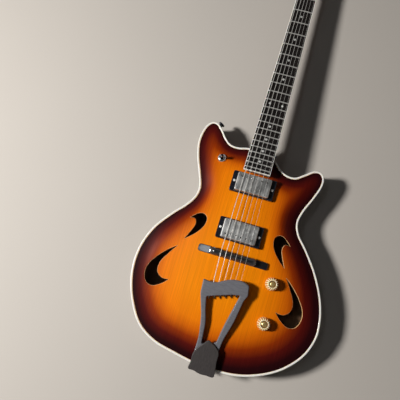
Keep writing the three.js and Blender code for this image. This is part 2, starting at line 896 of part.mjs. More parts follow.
const nutTop = stringSlope.nut - glueGap;
const nutLoop = (y) => [
  ...crownSteps.map((share) => [share * nutHalf, y, nutTop - crownDrop(share * nutHalf)]),
  [nutHalf, y, -boardThickness], [-nutHalf, y, -boardThickness],
];
const nut = capped([nutLoop(scaleLength), nutLoop(scaleLength + nutLength)]);
addTo(neckGroup, "nut", nut, bone);

// Half a round from one side to the other: shares of its half width and of its depth
const halfRound = Array.from({ length: neckSteps + 1 }, (_, i) => {
  const angle = Math.PI * i / neckSteps;
  return [Math.cos(angle), Math.sin(angle) ** neckPower];
});

// The neck's section is flat on top and round below
function neckLoop(y, half, depth) {
  return halfRound.map(([across, down]) => [half * across, y, neckTopZ - depth * down]);
}

const shaftEndY = scaleLength + nutLength + glueGap;
const shaftYs = [shaftStartY, (shaftStartY + shaftEndY) / 2, shaftEndY];
const neckShaft = solid(capped(shaftYs.map(
  (y, i) => neckLoop(y, Math.max(nutHalf, boardHalfWidth(y)), neckDepth * neckDepthShares[i]),
)));

// The heel narrows from the fingerboard's width at the top to its cap at the back
const heelBackY = neckJointY - 2 * overrun;

function heelLoop(share) {
  const half = boardHalfWidth(neckJointY) * (heelWidthShare + (1 - heelWidthShare) * share);
  const reach = heelReach * (heelCapShare + share ** heelPower);
  const z = neckTopZ - heelDepth * (1 - share);
  return [
    [-half, heelBackY, z], [half, heelBackY, z],
    ...halfRound.map(([across, down]) => [half * across, neckJointY + reach * down, z]),
  ];
}

const heel = solid(capped(heelSteps.map(heelLoop)));
const tongue = solid(box(
  -tongueWidth / 2, tongueWidth / 2, boardEndY + boardBinding, neckJointY + overrun,
  -2 * headThickness, neckTopZ,
));

// The headstock's outline, one straight start and a shallow crest at the end
const halfHead = headWidth / 2;
const headSide = [
  [headStartWidth / 2, 0],
  ...[...headSideShares, ...headCrestShares].map(([x, y]) => [x * halfHead, y * headLength]),
];
const headOutline = [
  ...headSide,
  ...headSide.slice(0, -1).reverse().map(([x, y]) => [-x, y]),
];
const headTopZ = -veneerThickness - glueGap;
const headSlab = solid(prism(headOutline, -headThickness, headTopZ));

const rodZ = neckTopZ - rodRadius - rodBury;
const rodStartY = neckJointY + overrun;
const rodEndY = scaleLength + nutLength + rodReach;
const rodHalf = rodRadius + runningGap;
const rodChannel = solid(box(
  -rodHalf, rodHalf, rodStartY - runningGap, rodEndY, rodZ - rodHalf, overrun,
));
const rodPocket = solid(box(
  -rodPocketWidth / 2, rodPocketWidth / 2, rodPocketSetback, rodPocketLength,
  rodZ + headDrop - rodPocketWidth / 2, overrun,
));

// Tuner places, from the nut outwards on each side
const tunerX = halfHead * headSideShares[2][0] - tunerInset;
const tunerPlaces = Array.from({ length: stringCount }, (_, i) => {
  const side = i < tunersPerSide ? 1 : -1;
  const rank = i < tunersPerSide ? i : lastRank - i;
  return { number: i + 1, side, x: side * tunerX, y: tunerStart + rank * tunerPitch };
});
const postBore = holeRadius(postRadius, runningGap, boreSides);
const postHoles = union(tunerPlaces.map(({ x, y }) => solid(
  rod(postBore, -headThickness - overrun, overrun, boreSides).translate(x, y, 0),
)));

const neck = union([neckShaft, heel, tongue])
  .subtract(moved(envelope, toNeck))
  .add(tenon(0))
  .add(moved(headSlab, headInNeck))
  .subtract(rodChannel)
  .subtract(moved(rodPocket.add(postHoles), headInNeck));
addTo(neckGroup, "neck", geometryOf(neck), mahogany);

const veneer = solid(prism(headOutline, -veneerThickness, 0))
  .subtract(rodPocket)
  .subtract(postHoles);
addTo(headGroup, "headstock_veneer", geometryOf(veneer), ebony);

const rodLength = rodEndY - rodStartY - glueGap;
const trussRod = union([
  solid(rod(rodRadius, 0, rodLength, 8)),
  solid(rod(rodNutRadius, rodLength - rodNutLength, rodLength, 6)),
]);
const rodMesh = addTo(neckGroup, "truss_rod", geometryOf(trussRod), steel);
rodMesh.rotation.x = -Math.PI / 2;
rodMesh.position.set(0, rodStartY, rodZ);

const coverSide = rodCoverShares.map(([x, y]) => [x * rodCoverWidth / 2, y * rodCoverLength]);
const coverOutline = [...coverSide, ...coverSide.map(([x, y]) => [-x, y]).reverse()];
const rodCover = prism(coverOutline, glueGap, glueGap + rodCoverThickness);
addTo(headGroup, "truss_rod_cover", rodCover, blackPlastic);

// Tuners: a plate on the back of each side carries three gears and worms

const plateTopZ = -headThickness - glueGap;
const plateBottomZ = plateTopZ - tunerPlateThickness;
const wormZ = plateBottomZ - runningGap - Math.max(wormRadius, gearHeight / 2);
const gearTopZ = wormZ + gearHeight / 2;
const wormOffset = gearRadius + wormRadius + runningGap;
const wormHalf = wormLength / 2;
const lugInner = wormHalf + runningGap;
const lugOuter = lugInner + lugThickness;

for (const [name, side] of [["treble_tuner_plate", 1], ["bass_tuner_plate", -1]]) {
  const places = tunerPlaces.filter((place) => place.side === side);
  const ys = places.map(({ y }) => y);
  const centreX = side * tunerX;
  const halfPlate = tunerPlateWidth / 2;
  const plate = solid(box(
    centreX - halfPlate, centreX + halfPlate,
    Math.min(...ys) - tunerPlateWidth / 2, Math.max(...ys) + wormOffset + tunerPlateWidth / 2,
    plateBottomZ, plateTopZ,
  ));
  const lugs = places.flatMap(({ y }) => [-1, 1].map((end) => {
    const [near, far] = [centreX + end * lugInner, centreX + end * lugOuter];
    return solid(box(
      Math.min(near, far), Math.max(near, far),
      y + wormOffset - wormRadius - lugWall, y + wormOffset + wormRadius + lugWall,
      wormZ - wormRadius - lugWall, plateTopZ,
    ));
  }));
  const shaftBore = holeRadius(wormShaftRadius, runningGap, buttonSides);
  const bores = places.map(({ y }) => solid(
    rod(shaftBore, -halfHead, halfHead, buttonSides).rotateY(Math.PI / 2)
      .translate(centreX, y + wormOffset, wormZ),
  ));
  const postClear = places.map(({ x, y }) => solid(
    rod(postBore, plateBottomZ - overrun, plateTopZ + overrun, boreSides).translate(x, y, 0),
  ));
  const whole = union([plate, ...lugs]).subtract(union([...bores, ...postClear]));
  addTo(headGroup, name, geometryOf(whole), nickel);
}

function gearWheel() {
  const points = Array.from({ length: gearTeeth * 2 }, (_, i) => {
    const radius = i % 2 === 0 ? gearRadius : gearRadius - toothDepth;
    const angle = Math.PI * i / gearTeeth;
    return [radius * Math.cos(angle), radius * Math.sin(angle)];
  });
  return solid(prism(points, gearTopZ - gearHeight, gearTopZ));
}

for (const { number, x, y } of tunerPlaces) {
  const shaft = solid(rod(postRadius, gearTopZ - gearHeight / 2, postHeight, boreSides));
  const post = union([gearWheel(), shaft]);
  const mesh = addTo(headGroup, `tuner_post_${number}`, geometryOf(post), nickel);
  mesh.position.set(x, y, 0);
}

function tunerButton() {
  const shaftEnd = halfHead - tunerX + cavityRoom + overrun;
  const shaft = turned([
    [0, -lugOuter], [wormShaftRadius, -lugOuter], [wormShaftRadius, -wormHalf],
    [wormRadius, -wormHalf], [wormRadius, wormHalf], [wormShaftRadius, wormHalf],
    [wormShaftRadius, shaftEnd + glueGap], [0, shaftEnd + glueGap],
  ], buttonSides);
  const loops = buttonShares.map(([along, spread]) => Array.from({ length: buttonSides }, (_, i) => {
    const angle = 2 * Math.PI * i / buttonSides;
    return [
      buttonRadius * spread * Math.cos(angle),
      buttonThickness / 2 * Math.sqrt(spread) * Math.sin(angle),
      shaftEnd + buttonLength * along,
    ];
  }));
  return union([solid(shaft), solid(capped(loops))]);
}

for (const { number, side, x, y } of tunerPlaces) {
  const mesh = addTo(headGroup, `tuner_button_${number}`, geometryOf(tunerButton()), nickel);
  mesh.rotation.y = side * Math.PI / 2;
  mesh.position.set(x, y + wormOffset, wormZ);
}

// Pickups in their rings

function adjusterX(side) {
  return side * adjusterSpacing / 2;
}

for (const { name, y, top } of pickups) {
  const ringTop = top - pickupReveal;
  const opening = roundedRectangle(coverLength + 2 * ringFit, coverWidth + 2 * ringFit, coverCorner);
  const ringShape = prism(
    roundedRectangle(ringLength, ringWidth, coverCorner), top - pickupDepth, ringTop, [opening],
  ).translate(0, y, 0);
  const screwHoles = union([-1, 1].map((side) => solid(
    rod(holeRadius(adjusterRadius, runningGap, boreSides), top - 2 * pickupDepth, top, boreSides)
      .translate(adjusterX(side), y, 0),
  )));
  const ring = solid(ringShape)
    .subtract(moved(envelope, toNeck))
    .subtract(screwHoles);
  addTo(neckGroup, `${name}_pickup_ring`, geometryOf(ring), blackPlastic);

  const bottom = top - pickupDepth;
  const cover = solid(prism(
    roundedRectangle(coverLength, coverWidth, coverCorner), bottom, top,
  ).translate(0, y, 0));
  const ears = solid(box(
    -earLength / 2, earLength / 2, y - earWidth / 2, y + earWidth / 2, bottom, bottom + earThickness,
  )).subtract(screwHoles);
  const poleSide = name === "bridge" ? -1 : 1;
  const poles = Array.from({ length: stringCount }, (_, i) => solid(
    rod(poleRadius, bottom + earThickness, top + poleHeight, boreSides).translate(
      (i - lastRank / 2) * bridgeSpacing, y + poleSide * (coverWidth / 2 - poleInset), 0,
    ),
  ));
  addTo(neckGroup, `${name}_pickup`, geometryOf(union([cover, ears, ...poles])), nickel);

  for (const [sideName, side] of [["bass", -1], ["treble", 1]]) {
    const screw = turned([
      [0, -adjusterLength], [adjusterRadius, -adjusterLength], [adjusterRadius, 0],
      [adjusterHead, 0], [adjusterHead - adjusterSlope, adjusterHeadHeight],
      [0, adjusterHeadHeight],
    ], boreSides);
    const mesh = addTo(neckGroup, `${name}_pickup_screw_${sideName}`, screw, nickel);
    mesh.position.set(adjusterX(side), y, ringTop + glueGap);
  }
}

// Bridge

const wheelX = studSpacing / 2;
const saddleBottomZ = crestHeight - saddleHeight;
const wheelTopZ = saddleBottomZ - glueGap;
const wheelBottomZ = wheelTopZ - wheelThickness;
const baseTopZ = wheelBottomZ - bridgeDrop - glueGap;
const studTopZ = saddleBottomZ + bridgeLift + studRadius / 2;
const [baseHalf, basePad] = [baseLength / 2, baseWidth / 2];
const baseEndZ = topHeight(baseHalf, crestY) + baseThickness;

function barAlongX(profile, y0, y1) {
  return solid(prism(profile, y0, y1).rotateX(Math.PI / 2).translate(0, y0 + y1, 0));
}

const baseProfile = [
  [-baseHalf, topEdgeZ], [baseHalf, topEdgeZ], [baseHalf, baseEndZ - baseBevel],
  [baseHalf - baseThickness, baseEndZ], [wheelX + wheelRadius, baseTopZ],
  [-wheelX - wheelRadius, baseTopZ], [-baseHalf + baseThickness, baseEndZ],
  [-baseHalf, baseEndZ - baseBevel],
];
const studs = [-1, 1].map((side) => solid(
  rod(studRadius, baseTopZ - baseThickness / 2, studTopZ, boreSides)
    .translate(side * wheelX, crestY, 0),
));
const bridgeBase = barAlongX(baseProfile, crestY - basePad, crestY + basePad)
  .subtract(envelope)
  .add(union(studs));
addTo(group, "bridge_base", geometryOf(bridgeBase), ebony);

for (const [name, side] of [["bass_thumbwheel", -1], ["treble_thumbwheel", 1]]) {
  const bore = studRadius + runningGap;
  const wheel = turned([
    [bore, wheelBottomZ], [wheelRadius, wheelBottomZ], [wheelRadius, wheelTopZ],
    [bore, wheelTopZ], [bore, wheelBottomZ],
  ], roundSides);
  const mesh = addTo(group, name, wheel, nickel);
  mesh.position.set(side * wheelX, crestY, 0);
}

// The saddle's top follows the fingerboard's radius under the strings and is flat beyond them
const saddleHalf = saddleLength / 2;
const crownHalf = bridgeSpacing * 3;
const shoulderZ = crestHeight - crownDrop(crownHalf) - glueGap;
const saddleProfile = [
  [-saddleHalf, saddleBottomZ], [saddleHalf, saddleBottomZ],
  [saddleHalf, shoulderZ - saddleShoulder], [saddleHalf - crestWidth, shoulderZ],
  ...saddleSteps.map((share) => [
    share * crownHalf, crestHeight - crownDrop(share * crownHalf),
  ]),
  [-saddleHalf + crestWidth, shoulderZ], [-saddleHalf, shoulderZ - saddleShoulder],
];
const saddleSection = [
  [crestY - saddleWidth / 2, saddleBottomZ], [crestY + saddleWidth / 2, saddleBottomZ],
  [crestY + saddleWidth / 2, saddleBottomZ + saddleFoot],
  [crestY + crestWidth / 2, crestHeight], [crestY - crestWidth / 2, crestHeight],
  [crestY - saddleWidth / 2, saddleBottomZ + saddleFoot],
];
// Profile drawn in Y and Z, drawn out along X
const sectionTurn = new THREE.Matrix4().makeBasis(
  new THREE.Vector3(0, 1, 0), new THREE.Vector3(0, 0, 1), new THREE.Vector3(1, 0, 0),
);
const sectionSolid = solid(prism(saddleSection, -saddleHalf, saddleHalf).applyMatrix4(sectionTurn));
const studHoleTop = studTopZ + bridgeDrop + runningGap;
const studHoles = [-1, 1].map((side) => solid(
  rod(holeRadius(studRadius, runningGap, boreSides), saddleBottomZ - overrun, studHoleTop, boreSides)
    .translate(side * wheelX, crestY, 0),
));
const saddle = barAlongX(saddleProfile, crestY - saddleWidth, crestY + saddleWidth)
  .intersect(sectionSolid)
  .subtract(union(studHoles));
addTo(group, "bridge_saddle", geometryOf(saddle), ebony);

// Tailpiece, its cap and the end button

const halfTail = tailThickness / 2;

function tailPointAt([xShare, yShare]) {
  return [xShare * tailWidth, (yShare * tailSpan - tailFrontY) / Math.cos(tailTilt)];
}

const frameOuter = frameOuterShares.map(tailPointAt);
const frameInner = frameInnerShares.map(tailPointAt);

// The y of an edge given by points in rising x, at one x
function edgeAt(points, x) {
  for (let i = 0; i < points.length - 1; i += 1) {
    const [[ax, ay], [bx, by]] = [points[i], points[i + 1]];
    if (x >= ax && x <= bx) return ay + (by - ay) * (x - ax) / (bx - ax);
  }
  return points[points.length - 1][1];
}

const barFront = frameOuter.slice(0, 8);
const barRear = frameInner.slice(0, 5);
const stringPlaces = stringRadii.map((radius, i) => {
  const rank = lastRank / 2 - i;
  const tailX = tailShift + rank * tailSpacing;
  return {
    number: i + 1,
    radius,
    nutX: rank * nutSpacing,
    bridgeX: bridgeShift + rank * bridgeSpacing,
    tailX,
    front: edgeAt(barFront, tailX),
    rear: Math.min(edgeAt(barRear, tailX - ballRadius), edgeAt(barRear, tailX + ballRadius)),
  };
});
const thickest = Math.max(...stringRadii);
const stringBores = union(stringPlaces.map(({ tailX, front, rear }) => solid(
  rod(holeRadius(thickest, glueGap, buttonSides), rear - overrun, front + overrun, buttonSides)
    .rotateX(-Math.PI / 2).translate(tailX, 0, 0),
)));
const frame = solid(prism(frameOuter, -halfTail, halfTail, [frameInner])).subtract(stringBores);
addTo(tailGroup, "tailpiece", geometryOf(frame), greyEbony);

const capPlate = solid(prism(
  capShares.map(tailPointAt), halfTail + glueGap, halfTail + glueGap + capThickness,
));
const lipTopZ = tailBarHeight - (tailFrontY - lipInnerY) * Math.tan(tailTilt) + halfTail
  + capThickness / 2;
const lip = solid(box(
  -lipWidth / 2, lipWidth / 2, lipOuterY, lipInnerY, lipTopZ - lipDepth, lipTopZ,
)).subtract(screwBore(endButtonPlace, endScrewDepth));
const cap = moved(capPlate, fromTail).add(lip);
addTo(group, "tailpiece_cap", geometryOf(cap), greyEbony);

function strapButton(screwLength) {
  const knob = strapProfileShares.map(([across, up]) => [across * strapFlange, up * strapLength]);
  return turned([
    [0, -screwLength], [buttonShank, -screwLength], [buttonShank, 0], ...knob, [0, strapLength],
  ], boreSides);
}

const endButton = strapButton(endScrewDepth - glueGap).applyMatrix4(endButtonPlace);
addTo(group, "end_button", endButton, nickel);
const hornButton = strapButton(strapScrew - glueGap).applyMatrix4(hornButtonPlace);
addTo(group, "horn_button", hornButton, blackPlastic);

// Knobs on their pots, the switch and the output jack

function knobGeometry(potTop) {
  const topZ = knobLift + knobHeight;
  const recessTop = knobLift + knobRecessDepth;
  const [edge, bevel, dishEdge, dishFloor] = knobTopShares.map((share) => share * knobRadius);
  const rings = [
    [potShaftRadius, potTop + runningGap, false], [potShaftRadius, recessTop, false],
    [knobRecess, recessTop, false], [knobRecess, knobLift, false], [knobRadius, knobLift, false],
    [knobRadius, knobLift + knobSkirt, true], [edge, topZ - knobDish, true],
    [bevel, topZ, false], [dishEdge, topZ, false], [dishFloor, topZ - knobDish, false],
  ];
  const loops = rings.map(([radius, z, fluted]) => Array.from({ length: knobSides }, (_, i) => {
    const angle = 2 * Math.PI * i / knobSides;
    const reach = radius - (fluted && i % 2 ? knobFluteDepth : 0);
    return [reach * Math.cos(angle), reach * Math.sin(angle), z];
  }));
  return capped(loops);
}

function potGeometry(bodyTop, bushTop) {
  const bore = potShaftRadius + runningGap;
  const floor = bodyTop - potHeight / 2;
  return turned([
    [0, bodyTop - potHeight], [potRadius, bodyTop - potHeight], [potRadius, bodyTop],
    [potBushRadius, bodyTop], [potBushRadius, bushTop], [bore, bushTop], [bore, floor], [0, floor],
  ], roundSides);
}

// The lowest point of the top plate over a round seat under it
function seatZ(x, y, radius) {
  const column = rod(radius + runningGap, backEdgeZ, topCrownZ + overrun, roundSides);
  return topPlate.intersect(solid(column.translate(x, y, 0))).boundingBox().min[2];
}

knobs.forEach(({ x, y, z }, i) => {
  const name = ["volume", "tone"][i];
  const bodyTop = seatZ(x, y, potRadius) - z - glueGap;
  const bushTop = knobLift + runningGap;
  const knob = addTo(group, `${name}_knob`, knobGeometry(bodyTop - potHeight / 2), amber);
  knob.position.set(x, y, z);
  const pot = addTo(group, `${name}_pot`, potGeometry(bodyTop, bushTop), steel);
  pot.position.set(x, y, z);
});

const switchSeat = seatZ(...switchPlace, switchCanRadius) - switchZ - glueGap;
const switchRise = switchNutLift;
const throwRad = leverThrowDeg * degree;
const pivotZ = switchSeat;
const switchTopZ = switchRise + switchNutHeight;
const switchBore = (switchTopZ - pivotZ) * Math.tan(throwRad) + leverRadius / Math.cos(throwRad)
  + runningGap;
const seatRadius = leverBallRadius + runningGap;
const switchBody = turned([
  [0, switchSeat - switchCanDepth], [switchCanRadius, switchSeat - switchCanDepth],
  [switchCanRadius, switchSeat], [switchBushRadius, switchSeat], [switchBushRadius, switchRise],
  [switchNutRadius, switchRise], [switchNutRadius, switchTopZ - switchNutBevel],
  [switchNutRadius - switchNutBevel, switchTopZ], [switchBore, switchTopZ],
  [seatRadius, pivotZ + seatRadius], [seatRadius, pivotZ - seatRadius], [0, pivotZ - seatRadius],
], roundSides);
const switchMesh = addTo(group, "switch_body", switchBody, nickel);
switchMesh.position.set(...switchPlace, switchZ);

const leverTop = switchTopZ + leverHeight;
const tipBottom = leverTop - leverTipLength;
const [ballStep, tipStep] = [leverBallRadius * ballShare, leverTipRadius * ballShare];
const lever = turned([
  [0, pivotZ - leverBallRadius], [ballStep, pivotZ - ballStep], [leverBallRadius, pivotZ],
  [ballStep, pivotZ + ballStep], [leverRadius, pivotZ + leverBallRadius], [leverRadius, tipBottom],
  [tipStep, tipBottom], [leverTipRadius, leverTop - leverTipRadius],
  [tipStep, leverTop - leverTipRadius + tipStep], [0, leverTop],
], boreSides);
const leverMesh = addTo(group, "switch_lever", lever, blackPlastic);
leverMesh.position.set(...switchPlace, switchZ);

const jackFace = glueGap + jackFlangeThickness;
const jackEnd = -jackDepth - jackFloor;
const jack = turned([
  [0, jackEnd], [jackSleeve, jackEnd], [jackSleeve, glueGap], [jackFlange, glueGap],
  [jackFlange, jackFace], [jackBore, jackFace], [jackBore, -jackDepth], [0, -jackDepth],
], roundSides);
addTo(group, "output_jack", jack.applyMatrix4(jackPlace), nickel);

// Strings: ball end behind the tailpiece, over the saddle and the nut, and round the post

function at(matrix, x, y, z) {
  return new THREE.Vector3(x, y, z).applyMatrix4(matrix);
}

function stringPath({ number, radius, nutX, bridgeX, tailX, front, rear }) {
  const ballEnd = at(fromTail, tailX, rear - glueGap - ballLength, 0);
  const ballFace = at(fromTail, tailX, rear - glueGap, 0);
  const barExit = at(fromTail, tailX, front + glueGap, 0);
  const crest = new THREE.Vector3(
    bridgeX, crestY, crestHeight - crownDrop(bridgeX) + glueGap + radius,
  );
  const nutZ = nutTop - crownDrop(nutX) + glueGap + radius;
  const nutFront = at(fromNeck, nutX, scaleLength, nutZ);
  const nutBack = at(fromNeck, nutX, scaleLength + nutLength, nutZ);

  const { side, x, y } = tunerPlaces[number - 1];
  const wrap = postRadius + glueGap + radius;
  const start = nutBack.clone().applyMatrix4(fromHead.clone().invert());
  const [dx, dy] = [x - start.x, y - start.y];
  const heading = Math.atan2(dy, dx) + Math.PI;
  const spin = -side;
  const first = heading + spin * Math.acos(wrap / Math.hypot(dx, dy));
  const pitch = 2 * radius + windingGap;
  const coil = Array.from({ length: windingTurns * windingSteps + 1 }, (_, i) => {
    const angle = first + spin * 2 * Math.PI * i / windingSteps;
    const reach = wrap / Math.cos(Math.PI / windingSteps);
    return at(
      fromHead, x + reach * Math.cos(angle), y + reach * Math.sin(angle),
      windingHeight + pitch * i / windingSteps,
    );
  });
  const points = [ballEnd, ballFace, ballFace, barExit, crest, nutFront, nutBack, ...coil];
  const radii = points.map((_, i) => (i < 2 ? ballRadius : radius));
  return { points, radii, coil };
}

// The least gap between one turn and the next
function leastGap(coil, radius) {
  let least = Infinity;
  for (let i = 0; i + windingSteps < coil.length; i += 1) {
    least = Math.min(least, coil[i].distanceTo(coil[i + windingSteps]) - 2 * radius);
  }
  return least;
}

for (const place of stringPlaces) {
  const { points, radii, coil } = stringPath(place);
  console.log(`string ${place.number} least gap ${leastGap(coil, place.radius).toFixed(2)} mm`);
  addTo(group, `string_${place.number}`, tube(points, radii, stringSides), steel);
}

export default group;
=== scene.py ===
"""Looks of a hollow archtop guitar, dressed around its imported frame.

Sizes are in millimetres until a mesh is written. +Z comes out of the top, +Y points to the
headstock and +X to the treble side.
"""
import logging
import math
from collections.abc import Callable, Sequence
from dataclasses import dataclass, field
from enum import Enum

import bmesh
import bpy
import numpy as np
from mathutils import Matrix, Vector
from mathutils.geometry import delaunay_2d_cdt
from numpy.typing import NDArray


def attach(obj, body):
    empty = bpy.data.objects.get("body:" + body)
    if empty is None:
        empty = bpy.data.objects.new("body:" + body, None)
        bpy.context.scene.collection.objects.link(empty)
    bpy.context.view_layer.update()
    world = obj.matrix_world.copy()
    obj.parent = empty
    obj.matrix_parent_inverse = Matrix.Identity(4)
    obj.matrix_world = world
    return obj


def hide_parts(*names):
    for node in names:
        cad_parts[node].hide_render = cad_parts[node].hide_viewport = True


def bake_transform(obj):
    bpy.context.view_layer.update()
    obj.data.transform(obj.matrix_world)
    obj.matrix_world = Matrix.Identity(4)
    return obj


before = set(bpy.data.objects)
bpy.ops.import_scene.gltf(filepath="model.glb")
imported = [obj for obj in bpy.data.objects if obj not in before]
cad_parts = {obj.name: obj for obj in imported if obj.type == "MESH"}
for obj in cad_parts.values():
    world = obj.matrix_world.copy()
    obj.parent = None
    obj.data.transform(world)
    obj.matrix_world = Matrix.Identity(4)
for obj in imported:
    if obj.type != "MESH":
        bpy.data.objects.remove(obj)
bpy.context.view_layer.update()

Array = NDArray[np.float64]
Height = Callable[[Array, Array], Array]
Pair = tuple[float, float]
Triple = tuple[float, float, float]
Colour = Triple
Points = Sequence[Sequence[float]]
Socket = bpy.types.NodeSocket
Feed = Socket | float | tuple

MM = 0.001
FULL_TURN = 2 * math.pi
UP = np.array([0, 0, 1.0])
BATCH = 4000
log = logging.getLogger("guitar")


# Outlines, in shares of half the body width and of the body length from the bridge line

BODY_SHARES = (
    (-0.144, 0.456), (-0.256, 0.447), (-0.349, 0.45), (-0.421, 0.472), (-0.487, 0.505),
    (-0.549, 0.527), (-0.61, 0.53), (-0.667, 0.509), (-0.7, 0.466), (-0.703, 0.417),
    (-0.667, 0.357), (-0.6, 0.29), (-0.551, 0.232), (-0.564, 0.187), (-0.631, 0.142),
    (-0.754, 0.086), (-0.882, 0.014), (-0.956, -0.062), (-0.979, -0.144), (-0.949, -0.226),
    (-0.864, -0.31), (-0.723, -0.388), (-0.528, -0.433), (-0.308, -0.452), (-0.077, -0.466),
    (0.159, -0.469), (0.385, -0.458), (0.595, -0.428), (0.779, -0.382), (0.933, -0.314),
    (1.013, -0.236), (1.015, -0.16), (0.964, -0.078), (0.856, 0.012), (0.713, 0.094),
    (0.605, 0.146), (0.559, 0.195), (0.585, 0.248), (0.651, 0.31), (0.703, 0.37),
    (0.703, 0.411), (0.651, 0.434), (0.579, 0.431), (0.497, 0.407), (0.41, 0.383),
    (0.318, 0.383), (0.236, 0.401), (0.154, 0.431), (0.01, 0.446),
)
UPPER_HOLE_SHARES = (
    ((0.538, 0.09), (0.467, 0.115), (0.405, 0.12), (0.362, 0.103), (0.372, 0.068),
     (0.436, 0.031), (0.533, -0.004)),
    ((0.533, -0.004), (0.492, 0.031), (0.462, 0.065), (0.479, 0.089), (0.538, 0.09)),
)
LOWER_HOLE_SHARES = (
    ((0.574, -0.037), (0.659, -0.064), (0.746, -0.101), (0.81, -0.14), (0.828, -0.177),
     (0.79, -0.214), (0.715, -0.224), (0.631, -0.207), (0.562, -0.181)),
    ((0.562, -0.181), (0.638, -0.182), (0.7, -0.162), (0.705, -0.126), (0.649, -0.082),
     (0.574, -0.037)),
)
KNOB_SHARES = ((0.451, -0.078), (0.477, -0.236))
SWITCH_SHARE = (-0.4, 0.376)

# Tailpiece outlines as runs from corner to corner, in shares of its width and of the
# distance from the bridge to the tail
TAIL_OUTER_RUNS = (
    ((-0.457, -0.289), (-0.304, -0.294), (-0.163, -0.285), (-0.022, -0.254), (0.098, -0.232),
     (0.25, -0.219), (0.38, -0.219), (0.5, -0.237)),
    ((0.5, -0.237), (0.533, -0.32)),
    ((0.533, -0.32), (0.478, -0.364)),
    ((0.478, -0.364), (0.446, -0.447), (0.402, -0.557), (0.337, -0.658), (0.283, -0.75),
     (0.25, -0.9)),
    ((0.25, -0.9), (-0.228, -0.9)),
    ((-0.228, -0.9), (-0.222, -0.77), (-0.25, -0.684), (-0.293, -0.592), (-0.359, -0.504),
     (-0.435, -0.412), (-0.446, -0.368)),
    ((-0.446, -0.368), (-0.457, -0.289)),
)
TAIL_INNER_RUNS = (
    ((-0.293, -0.421), (-0.12, -0.395), (0.033, -0.373), (0.185, -0.351), (0.37, -0.333)),
    ((0.37, -0.333), (0.348, -0.382), (0.283, -0.496), (0.217, -0.623), (0.163, -0.763)),
    ((0.163, -0.763), (-0.12, -0.807)),
    ((-0.12, -0.807), (-0.136, -0.74), (-0.163, -0.629), (-0.239, -0.518), (-0.293, -0.421)),
)
CAP_SHARES = (
    (0, -0.759), (-0.098, -0.803), (-0.196, -0.855), (-0.239, -0.899), (-0.239, -0.965),
    (-0.25, -1.026), (-0.13, -1.03), (0.011, -1.042), (0.141, -1.039), (0.3, -1.035),
    (0.304, -0.982), (0.283, -0.912), (0.272, -0.833), (0.185, -0.794), (0.087, -0.772),
)

# Headstock outline on one side, in shares of half its width and of its length
HEAD_SHARES = (
    (0.86, 0.1), (0.96, 0.2), (0.98, 0.45), (1.0, 0.86), (0.94, 0.93), (0.6, 0.975), (0.0, 1.0),
)
ROD_COVER_SHARES = ((1.0, 0.01), (1.0, 0.5), (0.66, 0.75), (0.5, 0.92), (0.2, 1.0))


# Curves and places


def smooth_run(points: Points, steps: int, closed: bool = False) -> Array:
    """A smooth curve through points: each span is a cubic whose end slopes are half the
    line between the neighbours.

    Args:
        points: The points that the curve passes through.
        steps: Samples in each span.
        closed: Whether the curve returns to its first point.

    Returns:
        The samples; an open curve has its last point too.
    """
    given = np.asarray(points, float)
    count = len(given)
    spans = count if closed else count - 1
    place = np.arange(spans * steps + (0 if closed else 1)) / steps
    span = np.minimum(place.astype(int), spans - 1)
    share = (place - span)[:, None]

    def pick(step: int) -> Array:
        """The points a few steps on from each sample's span."""
        index = span + step
        return given[index % count] if closed else given[np.clip(index, 0, count - 1)]

    before, start, end, after = pick(-1), pick(0), pick(1), pick(2)
    leave, arrive = (end - before) / 2, (after - start) / 2
    cube, square = share ** 3, share ** 2
    return (
        (2 * cube - 3 * square + 1) * start + (cube - 2 * square + share) * leave
        + (3 * square - 2 * cube) * end + (cube - square) * arrive
    )


def spaced(loop: Array, spacing: float) -> Array:
    """A closed loop walked again in even steps.

    Args:
        loop: Its points, flat or not.
        spacing: About how long a step is.

    Returns:
        At least eight points.
    """
    ring = np.vstack([loop, loop[:1]])
    walked = np.concatenate([[0], np.cumsum(np.linalg.norm(np.diff(ring, axis=0), axis=1))])
    count = max(8, round(walked[-1] / spacing))
    stations = np.arange(count) * walked[-1] / count
    return np.stack([np.interp(stations, walked, ring[:, k]) for k in range(ring.shape[1])], 1)


def softened(loop: Array, passes: int) -> Array:
    """A closed loop whose corners are eased: each pass moves a point to the mean of itself,
    twice, and its neighbours.

    Args:
        loop: Its points.
        passes: How often they move.

    Returns:
        As many points, moved.
    """
    for _ in range(passes):
        loop = (np.roll(loop, 1, 0) + 2 * loop + np.roll(loop, -1, 0)) / 4
    return loop


def normals(loop: Array) -> Array:
    """Square to the line between each point's neighbours, outwards if counter-clockwise."""
    along = np.roll(loop, -1, 0) - np.roll(loop, 1, 0)
    return np.stack([along[:, 1], -along[:, 0]], 1) / np.linalg.norm(along, axis=1)[:, None]


def offset(loop: Array, distance: float) -> Array:
    """A loop moved along its normals."""
    return loop + distance * normals(loop)


def area(loop: Array) -> float:
    """The signed area of a flat loop, positive when it runs counter-clockwise."""
    after = np.roll(loop, -1, 0)
    return float(np.sum(loop[:, 0] * after[:, 1] - after[:, 0] * loop[:, 1])) / 2


def wound(loop: Array, counter_clockwise: bool = True) -> Array:
    """The loop, turned round if it runs the other way."""
    return loop if (area(loop) > 0) == counter_clockwise else loop[::-1]


def rounded_rectangle(length: float, width: float, corner: float, steps: int = 6) -> Array:
    """A rectangle about the origin, with round corners.

    Args:
        length: Its size along X.
        width: Its size along Y.
        corner: The corners' radius.
        steps: Steps of each corner.

    Returns:
        Its outline, counter-clockwise.
    """
    quarter = np.repeat(np.arange(4), steps + 1)
    angle = (quarter + np.tile(np.arange(steps + 1) / steps, 4)) * math.pi / 2
    side = np.array([(1, 1), (-1, 1), (-1, -1), (1, -1)])[quarter]
    return side * (np.array([length, width]) / 2 - corner) + corner * np.stack(
        [np.cos(angle), np.sin(angle)], 1)


